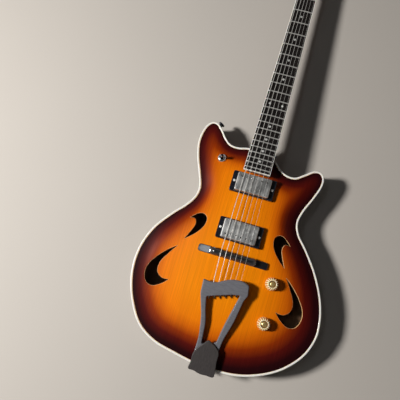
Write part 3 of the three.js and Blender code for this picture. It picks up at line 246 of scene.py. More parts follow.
def frame_matrix(place: Sequence[float], tilt_deg: float = 0) -> Array:
    """A frame at a place.

    Args:
        place: Its origin.
        tilt_deg: Its turn about X.

    Returns:
        Its 4 by 4 matrix.
    """
    turn = math.radians(tilt_deg)
    matrix = np.eye(4)
    matrix[1:3, 1:3] = [[math.cos(turn), -math.sin(turn)], [math.sin(turn), math.cos(turn)]]
    matrix[:3, 3] = place
    return matrix


def moved(points: Array, matrix: Array) -> Array:
    """Points taken through a frame's matrix."""
    return points @ matrix[:3, :3].T + matrix[:3, 3]


def lifted(loop: Array, height: float | Array) -> Array:
    """A flat loop with a height given to each of its points."""
    return np.column_stack([loop, np.broadcast_to(height, len(loop))])


@dataclass(frozen=True)
class Sizes:
    """The sizes that several pieces share; they repeat the frame's own."""

    body_length: float = 487
    body_width: float = 390
    rim_depth: float = 45
    top_rise: float = 16
    back_rise: float = 14
    plate: float = 4.5
    side: float = 9
    binding: float = 4
    scale: float = 628
    board_height: float = 90
    board_thickness: float = 6
    board_radius: float = 305
    nut_width: float = 43
    last_fret_width: float = 57
    frets: int = 22
    overhang: float = 8
    board_binding: float = 1.8
    nut_length: float = 5
    gap: float = 0.3
    neck_tilt: float = 2.2
    head_tilt: float = 11
    head_drop: float = 4
    head_length: float = 176
    head_width: float = 78
    head_thickness: float = 14
    veneer: float = 2
    crest_setback: float = 9
    crest_height: float = 94.5
    tail_width: float = 92
    tail_height: float = 87
    tail_tilt: float = 8.7
    tail_thickness: float = 8
    string_clearance: float = 3.4
    pickup_setback: float = 4.9
    pickup_spacing: float = 100
    top_below: float = 18.0
    nut_seat: float = 1

    @property
    def top_edge(self) -> float:
        """The height of the top's edge."""
        return self.back_rise + self.rim_depth

    @property
    def tail_span(self) -> float:
        """The distance from the bridge line to the body's tail."""
        return -BODY_SHARES[25][1] * self.body_length

    @property
    def last_fret(self) -> float:
        """The place of the last fret along the neck."""
        return self.scale * 2 ** (-self.frets / 12)

    @property
    def board_end(self) -> float:
        """The body end of the fingerboard along the neck."""
        return self.last_fret - self.overhang

    def board_half(self, y: Array | float) -> Array | float:
        """Half the fingerboard's width at a place along the neck."""
        taper = (self.last_fret_width - self.nut_width) / 2 / (self.scale - self.last_fret)
        return self.nut_width / 2 + taper * (self.scale - y)

    def crown(self, x: Array | float) -> Array | float:
        """The drop below the middle of the fingerboard's round top."""
        return x * x / (2 * self.board_radius)

    def nut_floor(self, x: Array | float) -> Array | float:
        """The height under a string in the nut, over the neck's frame."""
        return self.nut_seat + self.gap - self.crown(x)

    def crest_floor(self, x: Array | float) -> Array | float:
        """The height under a string on the saddle."""
        return self.crest_height - self.crown(x) + self.gap

    def string_height(self, y: float) -> float:
        """The strings' height over the fingerboard's plane, on a line from nut to saddle.

        Args:
            y: A place along the neck.

        Returns:
            The height of their undersides.
        """
        nut = self.nut_seat + self.gap
        crest_y = -self.crest_setback
        bridge = (self.crest_height - self.board_height
                  - crest_y * math.sin(math.radians(self.neck_tilt)) + self.gap)
        share = (self.scale - y) / (self.scale - crest_y)
        return nut + (bridge - nut) * share


SIZES = Sizes()
NECK_FRAME = frame_matrix((0, 0, SIZES.board_height), -SIZES.neck_tilt)
HEAD_FRAME = NECK_FRAME @ frame_matrix(
    (0, SIZES.scale + SIZES.nut_length + 2 * SIZES.gap, -SIZES.head_drop), -SIZES.head_tilt,
)
TAIL_FRONT = TAIL_OUTER_RUNS[0][0][1] * SIZES.tail_span
TAIL_FRAME = frame_matrix((0, TAIL_FRONT, SIZES.tail_height), SIZES.tail_tilt)


def on_body(shares: Points) -> Array:
    """Body shares as places in millimetres."""
    return np.asarray(shares, float) * (SIZES.body_width / 2, SIZES.body_length)


BODY_LINE = smooth_run(on_body(BODY_SHARES), 16, closed=True)
PLATE_LINE = offset(BODY_LINE, -SIZES.binding)


def distance_to_line(x: Array, y: Array, line: Array) -> Array:
    """The least distance from each point to a closed line: to the foot of the perpendicular
    on each of its segments, kept between the segment's ends.

    Args:
        x: The points' places across.
        y: The points' places along.
        line: The line's points.

    Returns:
        A distance for each point.
    """
    start, end = line, np.roll(line, -1, 0)
    along = end - start
    size = np.sum(along ** 2, 1)
    best = np.full(x.shape, np.inf)
    for first in range(0, len(x), BATCH):
        part = slice(first, first + BATCH)
        away_x = x[part, None] - start[None, :, 0]
        away_y = y[part, None] - start[None, :, 1]
        share = np.clip((away_x * along[:, 0] + away_y * along[:, 1]) / size, 0, 1)
        gap = np.hypot(away_x - share * along[:, 0], away_y - share * along[:, 1])
        best[part] = gap.min(1)
    return best


@dataclass(frozen=True)
class Arch:
    """A carved plate's surface: a dome over an oval that sweeps down to the edge."""

    dome_shares: Pair = (1.03, 0.52)
    dome_power: float = 1.35
    centre_share: float = 0.041
    back_flat: float = 0.27
    sweep: float = 35

    def share(self, x: Array, y: Array, flat: float) -> Array:
        """The share of the full rise: the oval's falling power times a smooth step over the
        band along the edge.

        Args:
            x: Places across.
            y: Places along.
            flat: The part of the oval's radius that is flat.

        Returns:
            A share for each place.
        """
        across = x / (self.dome_shares[0] * SIZES.body_width / 2)
        along = (y - self.centre_share * SIZES.body_length) / (
            self.dome_shares[1] * SIZES.body_length)
        slope = np.maximum(0, np.hypot(across, along) - flat) / (1 - flat)
        dome = np.maximum(0, 1 - slope ** 2) ** self.dome_power
        step = np.minimum(1, distance_to_line(x, y, PLATE_LINE) / self.sweep)
        return dome * step ** 2 * (3 - 2 * step)

    def top(self, x: Array, y: Array) -> Array:
        """The height of the top's outer surface."""
        return SIZES.top_edge + SIZES.top_rise * self.share(x, y, 0)

    def back(self, x: Array, y: Array) -> Array:
        """The height of the back's outer surface, which is flat in the middle."""
        return SIZES.back_rise * (1 - self.share(x, y, self.back_flat))


ARCH = Arch()


def top_height(x: float, y: float) -> float:
    """The top's height at one place."""
    return float(ARCH.top(np.array([x]), np.array([y]))[0])


@dataclass(frozen=True)
class SprayWithPaintedLight:
    """How the sunburst is laid on: sprayed further in at the tail, and further in on the treble
    side and less at the bass waist as painted shade and painted light from a lamp on the bass side."""

    gain: float = 0.0008
    shift: float = 0.012
    tail_share: float = 0.7
    waist: Pair = (-100, 100)
    waist_size: float = 48
    waist_gain: float = 0.35

    def depth(self, points: Array) -> Array:
        """How far points lie inside the body, as the spray sees it: the edge's inverse fourth
        powers of distance summed along it, turned back into a distance. It then grows with
        the lean, which is y less x with y cut behind the bridge, and in a bell at the waist.

        Args:
            points: Places on the guitar.

        Returns:
            A depth for each of them.
        """
        line = BODY_LINE[::2]
        step = np.linalg.norm(np.roll(line, -1, 0) - line, axis=1)
        depth = np.empty(len(points))
        for first in range(0, len(points), BATCH):
            away = ((points[first:first + BATCH, None, :2] - line[None]) ** 2).sum(2)
            total = (step / np.maximum(away, 1) ** 2).sum(1)
            depth[first:first + BATCH] = (total / (math.pi / 2)) ** (-1 / 3)
        x, y = points[:, 0], points[:, 1]
        # The x part of the lean and the bell at the bass waist paint light on the bass side and
        # shade on the treble side.
        lean = np.maximum(y, self.tail_share * y) - x
        away = (x - self.waist[0]) ** 2 + (y - self.waist[1]) ** 2
        waist = np.exp(-away / (2 * self.waist_size ** 2))
        return depth * (1 + self.gain * lean + self.waist_gain * waist) + self.shift * lean


SPRAY_WITH_PAINTED_LIGHT = SprayWithPaintedLight()


# Materials


class Grain(Enum):
    """The object axis that a wood's grain runs along."""

    ALONG = (8.0, 1.0, 8.0)
    ACROSS = (1.0, 8.0, 8.0)


class Nodes:
    """A tree of shader nodes in the making."""

    def __init__(self, tree: bpy.types.NodeTree) -> None:
        """Takes the tree."""
        self.tree = tree

    def feed(self, value: Feed, socket: Socket) -> None:
        """Feeds a socket.

        Args:
            value: Another socket, a number, a vector, or a colour without its alpha.
            socket: What is fed.
        """
        if isinstance(value, Socket):
            self.tree.links.new(value, socket)
        elif isinstance(value, tuple) and len(value) == 3 and socket.type == "RGBA":
            socket.default_value = (*value, 1)
        else:
            socket.default_value = value

    def node(self, kind: str, output: str | int, inputs: dict[str | int, Feed],
             **settings: str | bool) -> Socket:
        """Adds a node.

        Args:
            kind: Its type, without the words that every shader node's type starts with.
            output: Which of its outputs to give.
            inputs: What its inputs are fed.
            settings: Its own settings.

        Returns:
            The output.
        """
        node = self.tree.nodes.new(f"ShaderNode{kind}")
        for name, value in settings.items():
            setattr(node, name, value)
        for name, value in inputs.items():
            self.feed(value, node.inputs[name])
        return node.outputs[output]

    def maths(self, operation: str, first: Feed, second: Feed, clamp: bool = False) -> Socket:
        """One sum of two numbers."""
        return self.node("Math", "Value", {0: first, 1: second}, operation=operation,
                         use_clamp=clamp)

    def spread(self, factor: Socket, low: float, high: float,
               source: Pair = (0.0, 1.0)) -> Socket:
        """A factor moved linearly from one range to another."""
        return self.node("MapRange", "Result", {
            "Value": factor, "From Min": source[0], "From Max": source[1], "To Min": low,
            "To Max": high,
        })

    def either(self, share: Socket, first: Socket, second: Socket) -> Socket:
        """A share of the second shader over the first."""
        return self.node("MixShader", "Shader", {"Fac": share, 1: first, 2: second})


class NodeSketch(Nodes):
    """The nodes of one material in the making."""

    def __init__(self, name: str) -> None:
        """Starts a material with its shader and its object coordinates.

        Args:
            name: The material's name.
        """
        self.material = bpy.data.materials.new(name)
        self.material.use_nodes = True
        super().__init__(self.material.node_tree)
        self.shader = self.tree.nodes["Principled BSDF"]
        self.place = self.node("TexCoord", "Object", {})

    def mapped(self, scale: Triple) -> Socket:
        """Object coordinates stretched by a scale on each axis."""
        return self.node("Mapping", "Vector", {"Vector": self.place, "Scale": scale})

    def noise(self, vector: Socket, scale: float, detail: float = 4, rough: float = 0.55,
              twist: float = 0) -> Socket:
        """A cloudy pattern between 0 and 1."""
        return self.node("TexNoise", "Fac", {
            "Vector": vector, "Scale": scale, "Detail": detail, "Roughness": rough,
            "Distortion": twist,
        })

    def bands(self, scale: float) -> Socket:
        """Soft bands along Y."""
        return self.node("TexWave", "Fac", {
            "Vector": self.place, "Scale": scale, "Distortion": 0, "Detail": 3,
        }, bands_direction="Y")

    def attribute(self, name: str) -> Socket:
        """A number that the mesh carries at each point."""
        return self.node("Attribute", "Fac", {}, attribute_name=name)

    def ramp(self, factor: Socket, stops: Sequence[tuple[float, Colour]]) -> Socket:
        """A colour read from stops.

        Args:
            factor: Where to read.
            stops: Places along the factor, each with its colour.

        Returns:
            The colour.
        """
        node = self.tree.nodes.new("ShaderNodeValToRGB")
        elements = node.color_ramp.elements
        while len(elements) < len(stops):
            elements.new(0.5)
        for element, (place, colour) in zip(elements, stops):
            element.position = place
            element.color = (*colour, 1)
        self.feed(factor, node.inputs["Fac"])
        return node.outputs["Color"]

    def multiplied(self, first: Socket | Colour, second: Socket | Colour) -> Socket:
        """Two colours multiplied."""
        return self.node("Mix", 2, {"Factor": 1.0, 6: first, 7: second}, data_type="RGBA",
                         blend_type="MULTIPLY")

    def bump(self, height: Socket, strength: float, depth: float) -> None:
        """Relief of a depth in metres on the shader."""
        self.shade(Normal=self.node("Bump", "Normal", {
            "Strength": strength, "Distance": depth, "Height": height}))

    def glow(self, weight: float) -> None:
        """Light that sinks in and comes out again, red from deepest."""
        self.shade(Subsurface_Weight=weight, Subsurface_Radius=(0.003, 0.002, 0.001),
                   Subsurface_Scale=0.5)

    def shade(self, **sockets: Socket | float | Colour) -> None:
        """Feeds the shader's sockets; underscores in names stand for spaces."""
        for name, value in sockets.items():
            self.feed(value, self.shader.inputs[name.replace("_", " ")])


@dataclass(frozen=True)
class Finish:
    """One finish of the guitar, named for what it is on."""

    name: str

    def build(self) -> bpy.types.Material:
        """Makes the finish's material, but only once.

        Returns:
            The material.
        """
        known = bpy.data.materials.get(f"{self.name}_finish")
        if known:
            return known
        sketch = NodeSketch(f"{self.name}_finish")
        self.draw(sketch)
        return sketch.material

    def draw(self, sketch: NodeSketch) -> None:
        """Adds the finish's nodes."""
        raise NotImplementedError


@dataclass(frozen=True)
class Sunburst(Finish):
    """Clear-coated spruce sprayed dark from the edge, over the points' burst depth."""

    stops: tuple[tuple[float, Colour], ...]
    tint: Colour
    reach: float = 100
    streak: float = 0.16

    def draw(self, sketch: NodeSketch) -> None:
        """Spray over grain: the depth picks the colour, fine streaks darken it.

        Args:
            sketch: The material's nodes.
        """
        cloud = sketch.noise(sketch.place, 9, 3)
        depth = sketch.spread(sketch.attribute("depth"), 0, 1, (0, self.reach))
        depth = sketch.maths("ADD", depth, sketch.spread(cloud, -0.035, 0.035))
        colour = sketch.ramp(depth, self.stops)
        streaks = sketch.noise(sketch.mapped((620, 8, 60)), 1, 3, 0.55)
        figure = sketch.noise(sketch.mapped((60, 4, 20)), 1, 3, 0.5, 0.4)
        grain = sketch.spread(streaks, 1 - self.streak, 1 + self.streak / 2, (0.3, 0.7))
        grain = sketch.maths("MULTIPLY", grain, sketch.spread(figure, 0.96, 1.03, (0.3, 0.7)))
        grey = sketch.node("CombineColor", "Color", {0: grain, 1: grain, 2: grain})
        colour = sketch.multiplied(sketch.multiplied(colour, grey), self.tint)
        sketch.shade(Base_Color=colour, Roughness=0.5, Coat_Weight=0.12, Coat_Roughness=0.25,
                     Specular_IOR_Level=0.05)
        sketch.bump(streaks, 0.04, 0.0003)


@dataclass(frozen=True)
class Wood(Finish):
    """A wood with pores and streaks along its grain."""

    dark: Colour
    light: Colour
    fineness: float = 60
    rough: float = 0.5
    coat: float = 0
    relief: float = 0.15
    shine: float = 0.4
    grain: Grain = Grain.ALONG

    def draw(self, sketch: NodeSketch) -> None:
        """Long noise for the streaks and a finer one for the pores.

        Args:
            sketch: The material's nodes.
        """
        stretch = tuple(self.fineness * share / 8 for share in self.grain.value)
        streaks = sketch.noise(sketch.mapped(stretch), 3, 5, 0.6, 0.3)
        pores = sketch.noise(sketch.mapped(tuple(6 * share for share in stretch)), 4, 2, 0.5)
        mixed = sketch.maths("ADD", sketch.maths("MULTIPLY", streaks, 0.7),
                             sketch.maths("MULTIPLY", pores, 0.3))
        colour = sketch.ramp(mixed, ((0.33, self.dark), (0.66, self.light)))
        sketch.shade(Base_Color=colour, Roughness=sketch.spread(
            pores, self.rough - 0.08, self.rough + 0.1, (0.3, 0.7)), Coat_Weight=self.coat,
            Coat_Roughness=0.06, Specular_IOR_Level=self.shine)
        sketch.bump(pores, self.relief, 0.0003)


@dataclass(frozen=True)
class Metal(Finish):
    """Plated or bare metal with smudges and fine scratches."""

    colour: Colour
    rough: float = 0.18
    smudge: float = 0.12
    brushed: Triple = (400, 400, 400)
    scratch: float = 0.06
    dulled: float = 0.85
    metallic: float = 1.0

    def draw(self, sketch: NodeSketch) -> None:
        """Clouds vary the roughness and the colour, and stretched noise gives scratches.

        Args:
            sketch: The material's nodes.
        """
        cloud = sketch.noise(sketch.place, 90, 4, 0.6)
        lines = sketch.noise(sketch.mapped(self.brushed), 2, 3, 0.7)
        worn = tuple(self.dulled * value for value in self.colour)
        patch = sketch.maths("ADD", sketch.maths("MULTIPLY", cloud, 0.3),
                             sketch.maths("MULTIPLY", lines, 0.7))
        colour = sketch.ramp(patch, ((0.38, worn), (0.6, self.colour)))
        rough = sketch.spread(cloud, self.rough, self.rough + self.smudge, (0.35, 0.7))
        sketch.shade(Base_Color=colour, Metallic=self.metallic, Roughness=rough)
        sketch.bump(lines, self.scratch, 0.0002)


@dataclass(frozen=True)
class Plastic(Finish):
    """Polished plastic, bone or lacquer of nearly one colour."""

    colour: Colour
    vary: float = 0.06
    rough: float = 0.25
    coat: float = 0.4
    glow: float = 0

    def draw(self, sketch: NodeSketch) -> None:
        """Faint clouds in the colour and handling marks in the gloss.

        Args:
            sketch: The material's nodes.
        """
        cloud = sketch.noise(sketch.place, 70, 4, 0.6)
        low = tuple(value * (1 - self.vary) for value in self.colour)
        high = tuple(min(1, value * (1 + self.vary)) for value in self.colour)
        marks = sketch.noise(sketch.mapped((300, 60, 300)), 1, 3, 0.7)
        sketch.shade(
            Base_Color=sketch.ramp(cloud, ((0.3, low), (0.7, high))),
            Roughness=sketch.spread(marks, self.rough - 0.06, self.rough + 0.08, (0.3, 0.7)),
            Coat_Weight=self.coat, Coat_Roughness=0.05,
        )
        if self.glow:
            sketch.glow(self.glow)
        sketch.bump(marks, 0.04, 0.0002)


@dataclass(frozen=True)
class FluteShadedAmber(Finish):
    """Clear amber over gold, pale on the ribs, and darker down in the flutes as painted shade in
    the grooves.
    """

    rib: Colour
    flute: Colour

    def draw(self, sketch: NodeSketch) -> None:
        """The points' depth in a flute picks the colour, darker deeper in as painted shade, with
        faint clouds.

        Args:
            sketch: The material's nodes.
        """
        cloud = sketch.noise(sketch.place, 160, 4, 0.6)
        depth = sketch.maths("ADD", sketch.attribute("depth"), sketch.spread(cloud, -0.12, 0.12))
        sketch.shade(Base_Color=sketch.ramp(depth, ((0.15, self.rib), (0.7, self.flute))),
                     Roughness=sketch.spread(cloud, 0.12, 0.26, (0.3, 0.7)), Coat_Weight=0.8,
                     Coat_Roughness=0.04)
        sketch.glow(0.2)
        sketch.bump(cloud, 0.05, 0.0003)


@dataclass(frozen=True)
class WoundSteel(Finish):
    """Steel wrapped with fine wire, with its turns across the string's own length."""

    colour: Colour
    pitch: float

    def draw(self, sketch: NodeSketch) -> None:
        """Bands along Y as deep as the wire, darker between the turns as painted shade; pale and
        half diffuse as painted sheen.

        Args:
            sketch: The material's nodes.
        """
        turns = sketch.bands(FULL_TURN / 20 / (self.pitch * MM))
        dark = tuple(0.6 * value for value in self.colour)
        sketch.shade(Base_Color=sketch.ramp(turns, ((0.1, dark), (0.6, self.colour))),
                     Metallic=0.5, Roughness=sketch.spread(turns, 0.4, 0.32))
        sketch.bump(turns, 0.3, 0.0001)


TOP_BURST = Sunburst(
    "sunburst_top",
    stops=((0.0, (0.012, 0.001, 0.002)), (0.1, (0.02, 0.0015, 0.0025)),
           (0.24, (0.085, 0.005, 0.003)), (0.38, (0.27, 0.03, 0.001)),
           (0.52, (0.62, 0.12, 0.001)), (0.68, (0.83, 0.2, 0.001)), (1.0, (0.9, 0.25, 0.001))),
    tint=(1.0, 1.0, 1.0),
)
BACK_BURST = Sunburst(
    "sunburst_back",
    stops=((0.0, (0.012, 0.0025, 0.003)), (0.12, (0.02, 0.003, 0.0035)),
           (0.3, (0.09, 0.012, 0.006)), (0.55, (0.26, 0.05, 0.012)), (1.0, (0.4, 0.1, 0.02))),
    tint=(0.9, 0.85, 0.8), streak=0.3,
)
RIM_LACQUER = Wood("rim_lacquer", (0.028, 0.005, 0.004), (0.06, 0.012, 0.008), 30, 0.35, 1.0, 0.04)
NECK_LACQUER = Wood("neck_lacquer", (0.045, 0.009, 0.005), (0.1, 0.022, 0.012), 40, 0.35, 1.0, 0.05)
CREAM = Plastic("cream_binding", (0.93, 0.9, 0.83), 0.04, 0.28, 0.5, 0.12)
CUT_EDGE = Wood("cut_edge", (0.7, 0.36, 0.14), (0.95, 0.6, 0.28), 200, 0.6)
SPRUCE = Wood("bare_spruce", (0.3, 0.17, 0.08), (0.5, 0.32, 0.16), 120, 0.7)
# Bare wood of the inner faces, darker than the blocks' spruce: painted shade inside the closed box.
INSIDE_SHADED_WOOD = Wood("inside_wood_painted_shade", (0.16, 0.08, 0.04), (0.28, 0.15, 0.07), 90, 0.75)
BOARD_WOOD = Wood("dark_fingerboard", (0.004, 0.003, 0.003), (0.016, 0.012, 0.011), 90, 0.5, 0,
                  0.2, 0.2)
BONE = Plastic("bone", (0.8, 0.74, 0.6), 0.08, 0.3, 0.2, 0.1)
PEARL = Plastic("pearl", (0.64, 0.64, 0.62), 0.18, 0.18, 0.5)
BLACK_LACQUER = Plastic("black_lacquer", (0.006, 0.006, 0.007), 0.3, 0.3, 1.0)
BLACK_PLASTIC = Plastic("black_plastic", (0.007, 0.009, 0.014), 0.25, 0.2, 0.6)
GREY_EBONY = Wood("grey_ebony", (0.1, 0.1, 0.115), (0.17, 0.17, 0.19), 240, 0.5, 0.12, 0.25,
                  grain=Grain.ACROSS)
CAP_EBONY = Wood("cap_ebony", (0.03, 0.026, 0.026), (0.056, 0.048, 0.046), 200, 0.5, 0.1, 0.2)
BRIDGE_EBONY = Wood("bridge_ebony", (0.005, 0.005, 0.006), (0.014, 0.014, 0.017), 120, 0.34, 1.0,
                    0.045, grain=Grain.ACROSS)
NICKEL = Metal("polished_nickel", (0.66, 0.64, 0.6), 0.14)
CHROME = Metal("bright_chrome", (0.8, 0.81, 0.82), 0.16, 0.08)
# Streaks along the strings, down to half bright: brushed lines deepened into painted string shadows
# and reflections.
COVER_NICKEL = Metal("cover_nickel", (0.8, 0.8, 0.785), 0.4, 0.12, (260, 9, 60), 0.25, 0.5)
SCREW_NICKEL = Metal("screw_nickel", (0.72, 0.72, 0.7), 0.2)
# Near white and half diffuse, so that the height screws show as bright dots: a painted glint.
HEIGHT_SCREW_GLINT = Metal("height_screw", (0.95, 0.95, 0.93), 0.3, metallic=0.4)
# Frets and plain strings are part diffuse and pale so that they show as bright lines: painted sheen
# over the metal.
FRET_NICKEL = Metal("fret_nickel", (0.72, 0.71, 0.68), 0.3, metallic=0.7)
TOOL_STEEL = Metal("tool_steel", (0.32, 0.32, 0.33), 0.4)
PLAIN_STRING = Metal("plain_string", (0.95, 0.93, 0.9), 0.3, 0.05, (200, 200, 200), 0.0,
                     metallic=0.5)
# Ball ends coloured dark so that they melt into the shade behind the bar: painted shade.
BALL_END_SHADE = Metal("ball_end_painted_shade", (0.1, 0.07, 0.045), 0.5)
GOLD_FOIL = Metal("gold_foil", (0.92, 0.66, 0.26), 0.3, metallic=0.8)
# Knob amber: pale ribs, and darker flutes as painted shade in the grooves.
AMBER = FluteShadedAmber("amber_flute_shade", (0.97, 0.84, 0.55), (0.5, 0.27, 0.06))
AMBER_DARK = Plastic("amber_shade", (0.2, 0.11, 0.03), 0.2, 0.3, 0.5)


# Meshes


def placed(name: str, data: bpy.types.ID) -> bpy.types.Object:
    """Puts a mesh, a light or a camera into the scene.

    Args:
        name: The object's name.
        data: What it shows.

    Returns:
        The object, at the origin.
    """
    item = bpy.data.objects.new(name, data)
    bpy.context.scene.collection.objects.link(item)
    return item


class Skin:
    """Points and faces of one mesh in the making, in millimetres."""

    def __init__(self) -> None:
        """Starts with nothing."""
        self.points: list[Array] = []
        self.faces: list[list[int]] = []
        self.slots: list[int] = []
        self.count = 0

    def add(self, points: Array, faces: Sequence[Sequence[int]], slot: int = 0) -> None:
        """Adds points and the faces between them.

        Args:
            points: Places in any array.
            faces: Corners counted from the first of these points.
            slot: The material slot of the faces.
        """
        self.points.append(np.asarray(points, float).reshape(-1, 3))
        self.faces += [[index + self.count for index in face] for face in faces]
        self.slots += [slot] * len(faces)
        self.count += len(self.points[-1])

    def grid(self, points: Array, wrap_rows: bool = False, slot: int = 0) -> None:
        """Adds a surface given as rows of points; each row closes on itself.

        Args:
            points: Rows by columns by 3.
            wrap_rows: Whether the last row joins the first.
            slot: The material slot of its faces.
        """
        rows, columns = points.shape[:2]
        row = np.arange(rows if wrap_rows else rows - 1)[:, None]
        column = np.arange(columns)[None]
        next_row, next_column = (row + 1) % rows, (column + 1) % columns
        corners = (
            row * columns + column, row * columns + next_column,
            next_row * columns + next_column, next_row * columns + column,
        )
        faces = np.stack([np.broadcast_to(c, (row.size, column.size)) for c in corners], -1)
        self.add(points, faces.reshape(-1, 4).tolist(), slot)

    def cap(self, loop: Array, slot: int = 0) -> None:
        """Adds one face over a closed loop."""
        self.add(loop, [list(range(len(loop)))], slot)

    def tube(self, rows: Array, slot: int = 0) -> None:
        """Adds a surface round its columns with both ends closed."""
        self.grid(rows, slot=slot)
        self.cap(rows[0][::-1], slot)
        self.cap(rows[-1], slot)

    def lathe(self, profile: Points, sides: int,
              matrix: Array | None = None, slot: int = 0,
              ripple: Callable[[Array, Array, Array], Array] | None = None) -> None:
        """Adds a profile of (radius, height) pairs turned about Z.

        Args:
            profile: From one pole or rim to the other.
            sides: Columns in a full turn.
            matrix: Where it goes.
            slot: The material slot.
            ripple: Gives each radius anew from radius, height and angle.
        """
        line = np.asarray(profile, float)
        angle = np.arange(sides) * FULL_TURN / sides
        radius = np.repeat(line[:, :1], sides, 1)
        height = np.repeat(line[:, 1:], sides, 1)
        if ripple:
            radius = ripple(radius, height, np.broadcast_to(angle, radius.shape))
        points = np.stack([radius * np.cos(angle), radius * np.sin(angle), height], -1)
        if matrix is not None:
            points = moved(points.reshape(-1, 3), matrix).reshape(points.shape)
        self.grid(points, slot=slot)

    def place(self) -> Array:
        """All its points."""
        return np.vstack(self.points)

    def build(self, name: str, finishes: Sequence[Finish], slot: str,
              replaces: Sequence[str] = (), matrix: Array | None = None, crease: float = 35,
              depth: Callable[[Array], Array] | None = None,
              body: str = "guitar") -> bpy.types.Object:
        """Writes the mesh as a piece of the guitar.

        Args:
            name: The piece's name.
            finishes: One for each material slot.
            slot: The record's material slot; not used.
            replaces: The CAD nodes that the piece stands for.
            matrix: A frame that the points are taken through.
            crease: Edges sharper than this angle stay sharp.
            depth: Gives each point the number that its finish reads.
            body: The body that the piece rides, or nothing for one that rides none.

        Returns:
            The new object, at the origin.
        """
        points = self.place() if matrix is None else moved(self.place(), matrix)
        mesh = bpy.data.meshes.new(name)
        mesh.from_pydata((points * MM).tolist(), [], self.faces)
        mesh.polygons.foreach_set("material_index", self.slots)
        work = bmesh.new()
        work.from_mesh(mesh)
        bmesh.ops.remove_doubles(work, verts=work.verts, dist=1e-6)
        bmesh.ops.dissolve_degenerate(work, edges=work.edges, dist=1e-7)
        bmesh.ops.recalc_face_normals(work, faces=work.faces)
        work.to_mesh(mesh)
        work.free()
        mesh.polygons.foreach_set("use_smooth", [True] * len(mesh.polygons))
        mesh.set_sharp_from_angle(angle=math.radians(crease))
        if depth:
            place = np.empty(len(mesh.vertices) * 3)
            mesh.vertices.foreach_get("co", place)
            layer = mesh.attributes.new("depth", "FLOAT", "POINT")
            layer.data.foreach_set("value", depth(place.reshape(-1, 3) / MM))
        for finish in finishes:
            mesh.materials.append(finish.build())
        piece = placed(name, mesh)
        even = piece.modifiers.new("even_shading", "WEIGHTED_NORMAL")
        even.keep_sharp = True
        if body:
            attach(piece, body)
        if replaces:
            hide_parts(*replaces)
        log.info("%s: %d faces on %s", name, len(mesh.polygons), body or "two bodies")
        return piece


def inside(points: Array, loops: Sequence[Array]) -> NDArray[np.bool_]:
    """Which points lie inside loops, by how often a ray towards +X crosses them.

    Args:
        points: Flat points.
        loops: Closed loops; one within another is a hole.

    Returns:
        Whether each point does.
    """
    start = np.vstack(loops)
    end = np.vstack([np.roll(loop, -1, 0) for loop in loops])
    found = np.zeros(len(points), bool)
    for first in range(0, len(points), BATCH):
        x, y = points[first:first + BATCH, :2].T[:, :, None]
        spans = (start[:, 1] > y) != (end[:, 1] > y)
        rise = np.where(end[:, 1] == start[:, 1], 1, end[:, 1] - start[:, 1])
        cross = start[:, 0] + (y - start[:, 1]) / rise * (end[:, 0] - start[:, 0])
        found[first:first + BATCH] = (spans & (x < cross)).sum(1) % 2 == 1
    return found


def filled(loops: Sequence[Array], spacing: float) -> tuple[Array, list[list[int]]]:
    """Triangles between loops, with an even net of points inside.

    Args:
        loops: An outer loop and the holes in it.
        spacing: The net's spacing, or 0 for none.

    Returns:
        Flat points and triangles that run counter-clockwise.
    """
    rim = np.vstack(loops)
    seeds = rim
    if spacing:
        low, high = rim.min(0), rim.max(0)
        rows = np.arange(low[1], high[1], spacing * math.sqrt(3) / 2)
        columns = np.arange(low[0], high[0], spacing)
        shift = (np.arange(len(rows)) % 2 * spacing / 2)[:, None]
        net = np.stack([columns[None] + shift, np.repeat(rows[:, None], len(columns), 1)], -1)
        net = net.reshape(-1, 2)
        net = net[inside(net, loops)]
        near = np.concatenate([
            np.hypot(*(part[:, None] - rim[None]).transpose(2, 0, 1)).min(1)
            for part in np.array_split(net, max(1, len(net) // 3000))
        ])
        seeds = np.vstack([rim, net[near > spacing * 0.6]])
    edges, first = [], 0
    for loop in loops:
        edges += [(first + i, first + (i + 1) % len(loop)) for i in range(len(loop))]
        first += len(loop)
    points, _, faces, *_ = delaunay_2d_cdt(
        [Vector(seed) for seed in seeds], edges, [], 0, 1e-7,
    )
    flat = np.array([tuple(point) for point in points])
    corners = np.array([list(face) for face in faces])
    kept = corners[inside(flat[corners].mean(1), loops)]
    a, b, c = flat[kept[:, 0]], flat[kept[:, 1]], flat[kept[:, 2]]
    turn = (b[:, 0] - a[:, 0]) * (c[:, 1] - a[:, 1]) - (b[:, 1] - a[:, 1]) * (c[:, 0] - a[:, 0])
    kept[turn < 0] = kept[turn < 0][:, ::-1]
    return flat, kept[np.abs(turn) > 1e-3].tolist()


def heights(flat: Array, height: Height | float) -> Array:
    """Flat points lifted to a height or to a surface."""
    return lifted(flat, height(flat[:, 0], flat[:, 1]) if callable(height) else height)


